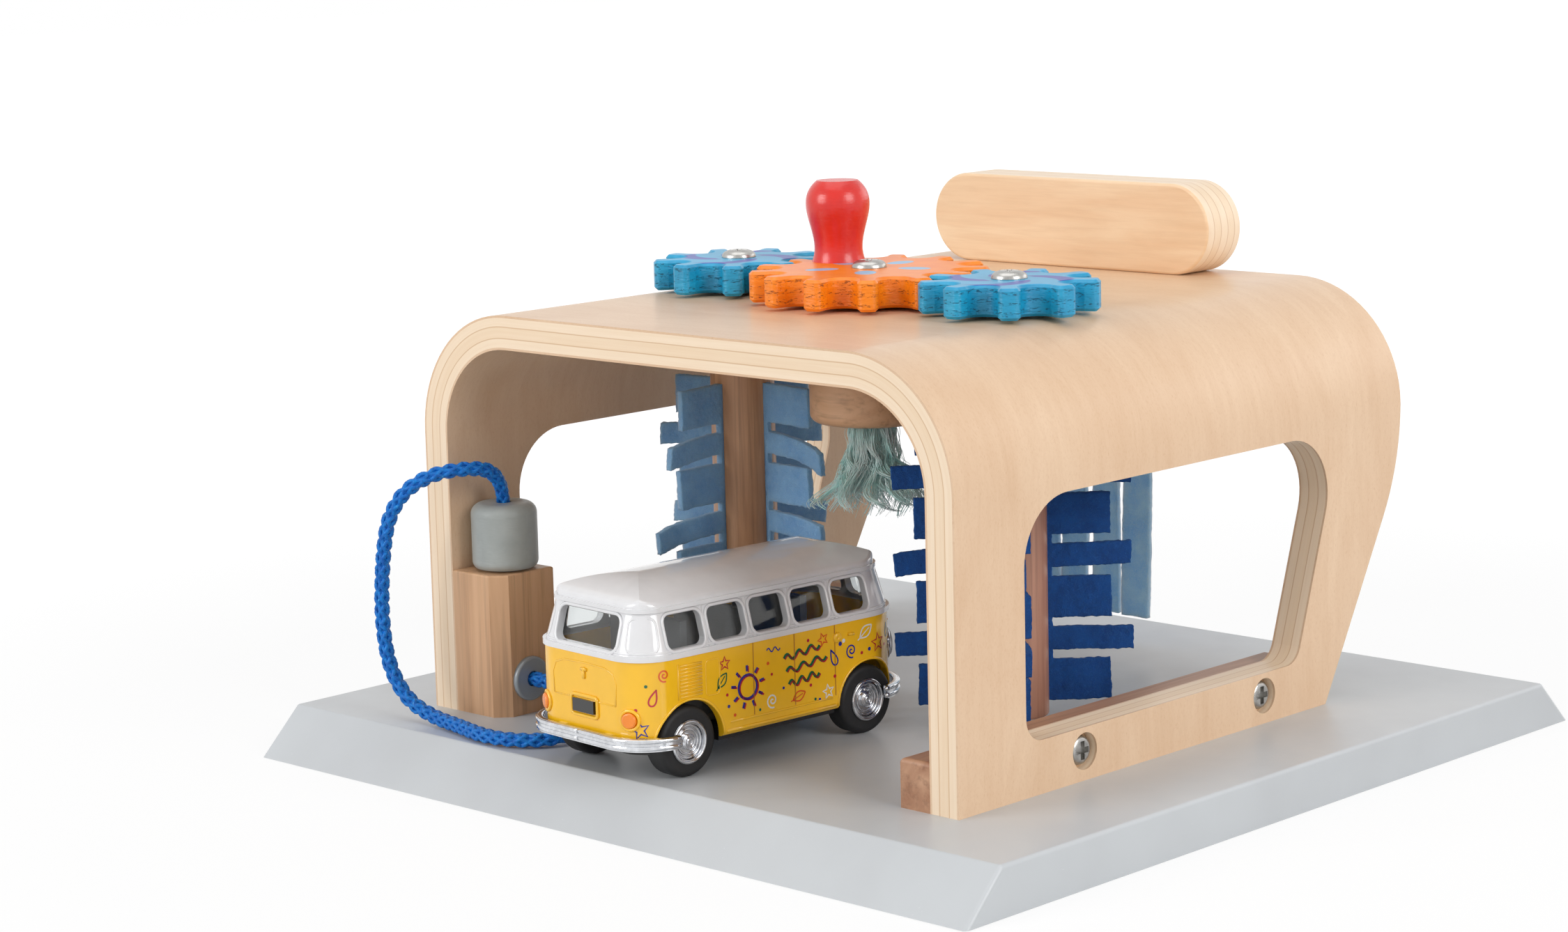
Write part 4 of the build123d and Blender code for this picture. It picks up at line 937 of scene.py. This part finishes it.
class Trim:
    """Beads and printed strokes on the bus's skin, gathered into one mesh."""

    def __init__(self):
        self.verts, self.faces = [], []

    def frames(self, path, lift, closed, sign):
        """Place, way out and way across at each point of a path."""
        pts = [wall(sign * s, z, lift) for s, z in path]
        n, out = len(pts), []
        for i, (s, z) in enumerate(path):
            o = wall(sign * s, z, lift + 1) - pts[i]
            a = pts[i - 1] if i or closed else pts[i]
            b = pts[(i + 1) % n] if i < n - 1 or closed else pts[i]
            out.append((pts[i], o, o.cross(b - a).normalized()))
        return out

    def bead(self, path, radius, flat=0.7, closed=False, lift=0.0, sign=1):
        sides, base, n = 6, len(self.verts), len(path)
        for p, o, u in self.frames(path, lift, closed, sign):
            for t in angles(sides):
                q = p + u * cos(t) * radius + o * sin(t) * radius * flat
                self.verts.append(BUS @ (q * MM))
        for i in range(n if closed else n - 1):
            self.faces += between(base + i * sides, base + (i + 1) % n * sides, sides)
        if not closed:
            self.faces += ends(base, base + (n - 1) * sides, sides)

    def both(self, path, radius, **more):
        for sign in (1, -1):
            self.bead(path, radius, sign=sign, **more)

    def stroke(self, path, width, closed=False, sign=1):
        base, n = len(self.verts), len(path)
        for p, _, u in self.frames(path, 0.04, closed, sign):
            self.verts += [BUS @ ((p + u * w) * MM) for w in (width / 2, -width / 2)]
        for i in range(n if closed else n - 1):
            here, there = base + 2 * i, base + 2 * ((i + 1) % n)
            self.faces.append((here, here + 1, there + 1, there))

    def dot(self, s, z, r, sign):
        base, n = len(self.verts), 14
        self.verts.append(BUS @ (wall(sign * s, z, 0.045) * MM))
        for a in angles(n):
            rim = wall(sign * (s + r * cos(a)), z + r * sin(a), 0.045)
            self.verts.append(BUS @ (rim * MM))
        self.faces += [(base, base + 1 + k, base + 1 + (k + 1) % n) for k in range(n)]

    def make(self, name, material, slot):
        new_mesh(name, self.verts, self.faces, material, "bus")


def turned(s, z, r, degrees):
    """The point at a distance and an angle from a place."""
    a = radians(degrees)
    return s + r * cos(a), z + r * sin(a)


def rounded(s0, z0, w, h, r):
    """Outline of a rounded rectangle."""
    out = []
    for right, high, start in ((1, 1, 0), (-1, 1, 90), (-1, -1, 180), (1, -1, 270)):
        s, z = s0 + right * (w / 2 - r), z0 + high * (h / 2 - r)
        out += [turned(s, z, r, start + 90 * k / 5) for k in range(6)]
    return out


def circle(s0, z0, r, n=24):
    return [turned(s0, z0, r, 360.0 * k / n) for k in range(n)]


def make_bus_trim():
    white, yellow, chrome, groove = Trim(), Trim(), Trim(), Trim()
    first = -20.2
    for k in range(5):
        place = along(first + WINDOW_PITCH * k)
        white.both(rounded(place, WINDOW_Z, 8.5, 6.2, 1.6), 0.34, closed=True, lift=0.05)
    # pillars between the windows, with the door gaps below all but the first, drawn as flat darker
    # strokes that paint the shade in the gaps
    for k in range(4):
        y = first + WINDOW_PITCH / 2 + WINDOW_PITCH * k
        for d in ((-0.42, 0.42) if k else (0,)):
            white.both([(along(y + d), z) for z in (21.3, 24.0, 26.5, 28.3)], 0.16)
        for sign in ((1, -1) if k else ()):
            groove.stroke([(along(y), z) for z in (20.5, 16, 12, 8.2)], 0.22, sign=sign)
    white.bead(rounded(0, WINDOW_Z, 16.2, 6.3, 1.7), 0.36, closed=True, lift=0.05)
    inner, outer = S5 - 0.35, S5 - 9.75
    screen = rounded((inner + outer) / 2, WINDOW_Z, inner - outer, 6.2, 1.5)
    white.both(rounded(S1 + 5.2, 24.7, 6.4, 5.4, 1.3), 0.2, closed=True)
    # the two screen frames bend round the nose
    white.both(screen, 0.32, closed=True, lift=0.05)
    ring = [k * S5 / 60 for k in range(61)]
    white.both([(s, 21.85) for s in ring], 0.2, lift=0.02)
    white.both([(s, 28.05) for s in ring], 0.14)
    # tail: engine lid, the plate's frame and the lid's handle
    lid = [(8.0, 12.9), (8.2, 16.6), (7.4, 18.2), (5.4, 18.9)]
    yellow.bead(lid + [(0, 19.1)] + [(-s, z) for s, z in reversed(lid)], 0.17)
    yellow.bead([(8.0, 12.9), (-8.0, 12.9)], 0.14)
    yellow.bead(rounded(0, 11.8, 6.7, 3.4, 0.6), 0.32, flat=0.9, closed=True, lift=0.12)
    yellow.bead([(0, 17.9), (0, 17.1), (0, 16.4)], 0.34, flat=0.8, lift=0.12)
    yellow.bead([(-0.7, 17.9), (0, 18.05), (0.7, 17.9)], 0.3, flat=0.8, lift=0.1)
    # the rims of the rear lamps and the headlamps
    yellow.both(circle(S1 + 2.84, 10.9, 1.62), 0.34, flat=0.9, closed=True, lift=0.1)
    chrome.both(circle(S3 + 10.79, 14.0, 2.72), 0.3, flat=1.0, closed=True, lift=0.15)
    # air louvres behind the last window, a filler flap and the doors' handles
    for k in range(10):
        yellow.both(on_side(13.9 + k * 0.58, -22.3, -20.0, -17.6), 0.22, flat=0.9)
    yellow.both([(along(-22.7), z) for z in (13.5, 16.5, 19.5)], 0.2)
    yellow.both(rounded(along(-15.2), 16.2, 3.0, 6.0, 0.7), 0.13, closed=True)
    yellow.both(circle(along(12.9), 18.2, 0.5, 12), 0.5, flat=0.8, closed=True)
    yellow.both([(along(15.4), 18.4), (along(16.6), 18.3)], 0.3, flat=1.2, lift=0.15)
    # the sill, the wheel arches and a swage line on the nose
    yellow.both(on_side(7.9, -11.6, -6, 0, 6, 11.6), 0.2)
    yellow.both(on_side(6.5, -12.4, -6, 0, 6, 12.4), 0.3)
    for y in (-WHEEL_Y, WHEEL_Y):
        arc = [turned(y, WHEEL_Z, WHEEL_ARCH, a) for a in range(2, 179, 8)]
        yellow.both([(along(c), z) for c, z in arc], 0.26)
    yellow.both([(s, 18.6) for s in (S4 - 7, S4 - 2, S4 + 2, S5)], 0.16)
    # two ridges along each bumper
    for z in (6.55, 7.75):
        tail = [(k * (S2 + 0.3) / 24, z) for k in range(25)]
        nose = [(S5 - k * (S5 - S3 - 1.5) / 24, z) for k in range(25)]
        chrome.both(tail, 0.42, flat=0.75, lift=1.75)
        chrome.both(nose, 0.42, flat=0.75, lift=1.75)
    white.make("bus_window_frames", BUS_WHITE, "bus_white")
    yellow.make("bus_body_mouldings", BUS_YELLOW, "bus_yellow")
    chrome.make("bus_chrome_ridges", CHROME, "bright_chrome")
    # painted shade: a darker yellow for the flat strokes of the door gaps
    shade = glossy("groove_shade", rgb(196, 132, 24), 0.4)
    groove.make("bus_door_gaps", shade, "bus_yellow")
    make_wheel_rings("bus_front_wheels", WHEEL_Y)
    make_wheel_rings("bus_rear_wheels", -WHEEL_Y)


def make_wheel_rings(body, y):
    """Raised rings on both hubs of an axle: place across, radius and thickness of each."""
    rings = ((14.05, 3.42, 0.26), (13.55, 2.75, 0.24), (13.5, 2.1, 0.22),
             (14.02, 1.02, 0.2), (14.05, 0.5, 0.2))
    n, m = 36, 8
    verts, faces = [], []
    for side in (1, -1):
        for x, r, thin in rings:
            base = len(verts)
            for a in angles(n):
                for t in angles(m):
                    q = r + thin * cos(t)
                    across = side * (x + thin * sin(t))
                    place = Vector((across, y + q * cos(a), WHEEL_Z + q * sin(a)))
                    verts.append(BUS @ (place * MM))
            for i in range(n):
                faces += between(base + i * m, base + (i + 1) % n * m, m, flip=True)
    new_mesh(body + "_rings", verts, faces, CHROME, body)


INKS = {"red": (196, 36, 52), "navy": (42, 50, 146), "green": (16, 100, 62),
        "orange": (232, 92, 28), "white": (240, 238, 232)}
DOTS = {
    # place along the bus, height and radius
    "red": [(-29.6, 12.6, 0.3), (-12.2, 12.6, 0.28), (-2.2, 14.4, 0.26), (6.6, 11.0, 0.3),
            (12.2, 11.6, 0.32), (18.6, 14.6, 0.3), (-29.4, 6.7, 0.36), (6.2, 18.8, 0.3)],
    "navy": [(-11.9, 10.6, 0.3), (0.4, 11.6, 0.26), (8.6, 8.2, 0.26), (13.6, 17.0, 0.4),
             (20.4, 15.0, 0.34)],
    "green": [(-28.4, 16.6, 0.28), (7.6, 8.4, 0.26), (-5.0, 8.8, 0.26)],
    "orange": [(-3.0, 16.4, 0.3), (24.8, 15.0, 0.28), (-10.6, 8.9, 0.3)],
    "white": [(14.4, 17.4, 0.36)],
}


def make_bus_prints():
    """Hand-drawn motifs along the sides: a sun, waves, stars, leaves, drops, spirals and dots."""
    inks = {name: Trim() for name in INKS}

    def ink(name, path, width, closed=False):
        for sign in (1, -1):
            inks[name].stroke(path, width, closed, sign=sign)

    def star(name, y, z, r, turn):
        reach = (r, r * 0.42)
        pts = [turned(along(y), z, reach[k % 2], 90 + turn + 36 * k) for k in range(10)]
        ink(name, pts, 0.3, True)

    def drop(name, y, z, r, turn):
        a = radians(turn)
        pts = []
        for t in angles(24):
            u, v = r * 0.62 * sin(t) * sin(t / 2) ** 1.3, -r * cos(t)
            pts.append((along(y) + u * cos(a) - v * sin(a), z - u * sin(a) - v * cos(a)))
        ink(name, pts, 0.28, True)

    def wave(name, y, z, w, tall, count, slope, width):
        n = 12 * count
        pts = []
        for k in range(n + 1):
            rise = slope * w * k / n + tall * sin(2 * pi * count * k / n)
            pts.append((along(y) + w * k / n, z + rise))
        ink(name, pts, width)

    def leaf(name, y, z, r, turn):
        a = radians(turn)

        def at(u, v):
            return (along(y) + u * cos(a) - v * sin(a), z + u * sin(a) + v * cos(a))
        for side in (0.55, -0.55):
            edge = [at(-r + 2 * r * k / 8, side * r * sin(pi * k / 8)) for k in range(9)]
            ink(name, edge, 0.26)
        ink(name, [at(-r * 1.35, 0), at(r * 0.6, 0)], 0.2)

    def spiral(name, y, z, r):
        turns = [(r * k / 30, 1.8 * 6.283 * k / 30) for k in range(2, 31)]
        ink(name, [(along(y) + q * cos(a), z + q * sin(a)) for q, a in turns], 0.28)

    def sun(name, y, z, r, shift, width):
        s, z = along(y) + shift, z - shift * 0.6
        ink(name, circle(s, z, r * 0.55, 26), width, True)
        for k in range(9):
            ink(name, [turned(s, z, q * r, 40 * k + 12) for q in (0.72, 1.0)], width)

    sun("red", -7.6, 13.2, 3.7, 0.28, 0.34)
    sun("navy", -7.6, 13.2, 3.7, 0.0, 0.5)
    for name, shift, width in (("red", 0.3, 0.3), ("green", 0.0, 0.5)):
        for row, w in enumerate((8.2, 9.2, 7.0)):
            y, z = 0.6 + shift + 0.5 * row, 16.6 - 2.3 * row - shift * 0.7
            wave(name, y, z, w, 0.55, 3, 0.12, width)
    star("navy", -29.2, 9.3, 1.6, 12)
    drop("red", -27.4, 14.6, 1.4, 20)
    spiral("orange", -25.6, 18.2, 1.1)
    leaf("green", -13.2, 15.2, 1.5, 50)
    star("red", -12.6, 18.0, 1.2, 0)
    spiral("white", -2.2, 9.9, 1.3)
    leaf("orange", 3.9, 9.6, 1.5, 20)
    star("white", 10.6, 9.2, 1.3, 8)
    drop("navy", 12.0, 14.9, 1.5, -25)
    star("orange", 9.6, 18.4, 1.2, 20)
    spiral("navy", 16.2, 15.4, 1.3)
    leaf("white", 19.6, 18.2, 1.7, 35)
    star("red", 22.6, 15.8, 1.7, 5)
    drop("green", 25.6, 17.4, 1.2, 0)
    star("navy", 27.4, 14.8, 1.2, 0)
    wave("navy", -3.2, 18.6, 3.0, 0.35, 2, 0.0, 0.24)
    for name, tint in INKS.items():
        for y, z, r in DOTS[name]:
            for sign in (1, -1):
                inks[name].dot(along(y), z, r, sign)
        paint = glossy("ink_" + name, rgb(*tint), 0.22)
        inks[name].make("bus_motifs_" + name, paint, "bus_yellow")


make_bus_trim()
make_bus_prints()


# ---- light and floor
LAMPS = (
    # name, place, aim, size, power
    ("top", (-0.10, -0.05, 1.3), (0, 0, 0.03), (1.1, 1.1), 4.7),
    ("key", (1.1, -0.02, 0.58), (0, 0, 0.05), (0.6, 0.6), 6.6),
    ("front", (-0.42, -1.10, 0.50), (0, 0, 0.05), (0.6, 0.5), 6.4),
    ("back", (0.3, 1.15, 0.42), (0, 0, 0.05), (0.9, 0.5), 1.8),
)
HORIZON, OVERHEAD = (0.08, 0.85), (0.60, 0.28)  # height of the direction, strength
FLOOR_HALF, FLOOR_Z = 3.0, -0.0001


def make_world():
    """A white sweep: more light from near the horizon than from overhead."""
    world = bpy.data.worlds.new("studio")
    bpy.context.scene.world = world
    w = Nodes(world)
    height = w.xyz(w.node("TexCoord").outputs["Generated"])[2]
    (low, bright), (high, dull) = HORIZON, OVERHEAD
    sweep = w.step(height, low, high, bright, dull)
    strength = w.node("Mix", {"data_type": "FLOAT"}, i0=w.seen(), i2=sweep, i3=1.0)
    background = w.t.nodes["Background"].inputs
    w.put(background["Strength"], strength.outputs[0])
    w.put(background["Color"], (1, 1, 1, 1))


def make_lamps():
    for name, place, aim, size, power in LAMPS:
        data = bpy.data.lights.new(name, "AREA")
        data.shape = "RECTANGLE"
        data.size, data.size_y = size
        data.energy = power
        o = linked(name, data)
        o.location = place
        o.rotation_euler = (Vector(aim) - Vector(place)).to_track_quat("-Z", "Y").to_euler()


def make_floor():
    """White to the camera, less its shadow, which the shader keeps."""
    floor = Mat("studio_floor", 0.8)
    floor.colour((0.6, 0.6, 0.6, 1))
    glow = floor.node("Emission", Color=(1, 1, 1, 1), Strength=1.1)
    x, y, _ = floor.xyz()
    away = floor.step(floor.hypot(x, y), 0.14, 0.5)
    share = floor.mul(floor.seen(), floor.add(0.78, floor.mul(away, 0.22)))
    mix = floor.node("MixShader", i0=share, i1=floor.b.outputs[0], i2=glow.outputs[0])
    floor.t.links.new(mix.outputs[0], floor.t.nodes["Material Output"].inputs["Surface"])
    data = bpy.data.meshes.new("studio_floor")
    corners = ((-1, -1), (1, -1), (1, 1), (-1, 1))
    places = [(x * FLOOR_HALF, y * FLOOR_HALF, FLOOR_Z) for x, y in corners]
    data.from_pydata(places, [], [(0, 1, 2, 3)])
    data.materials.append(floor.m)
    linked("studio_floor", data)


make_world()
make_lamps()
make_floor()
bpy.context.scene.view_settings.view_transform = "Standard"
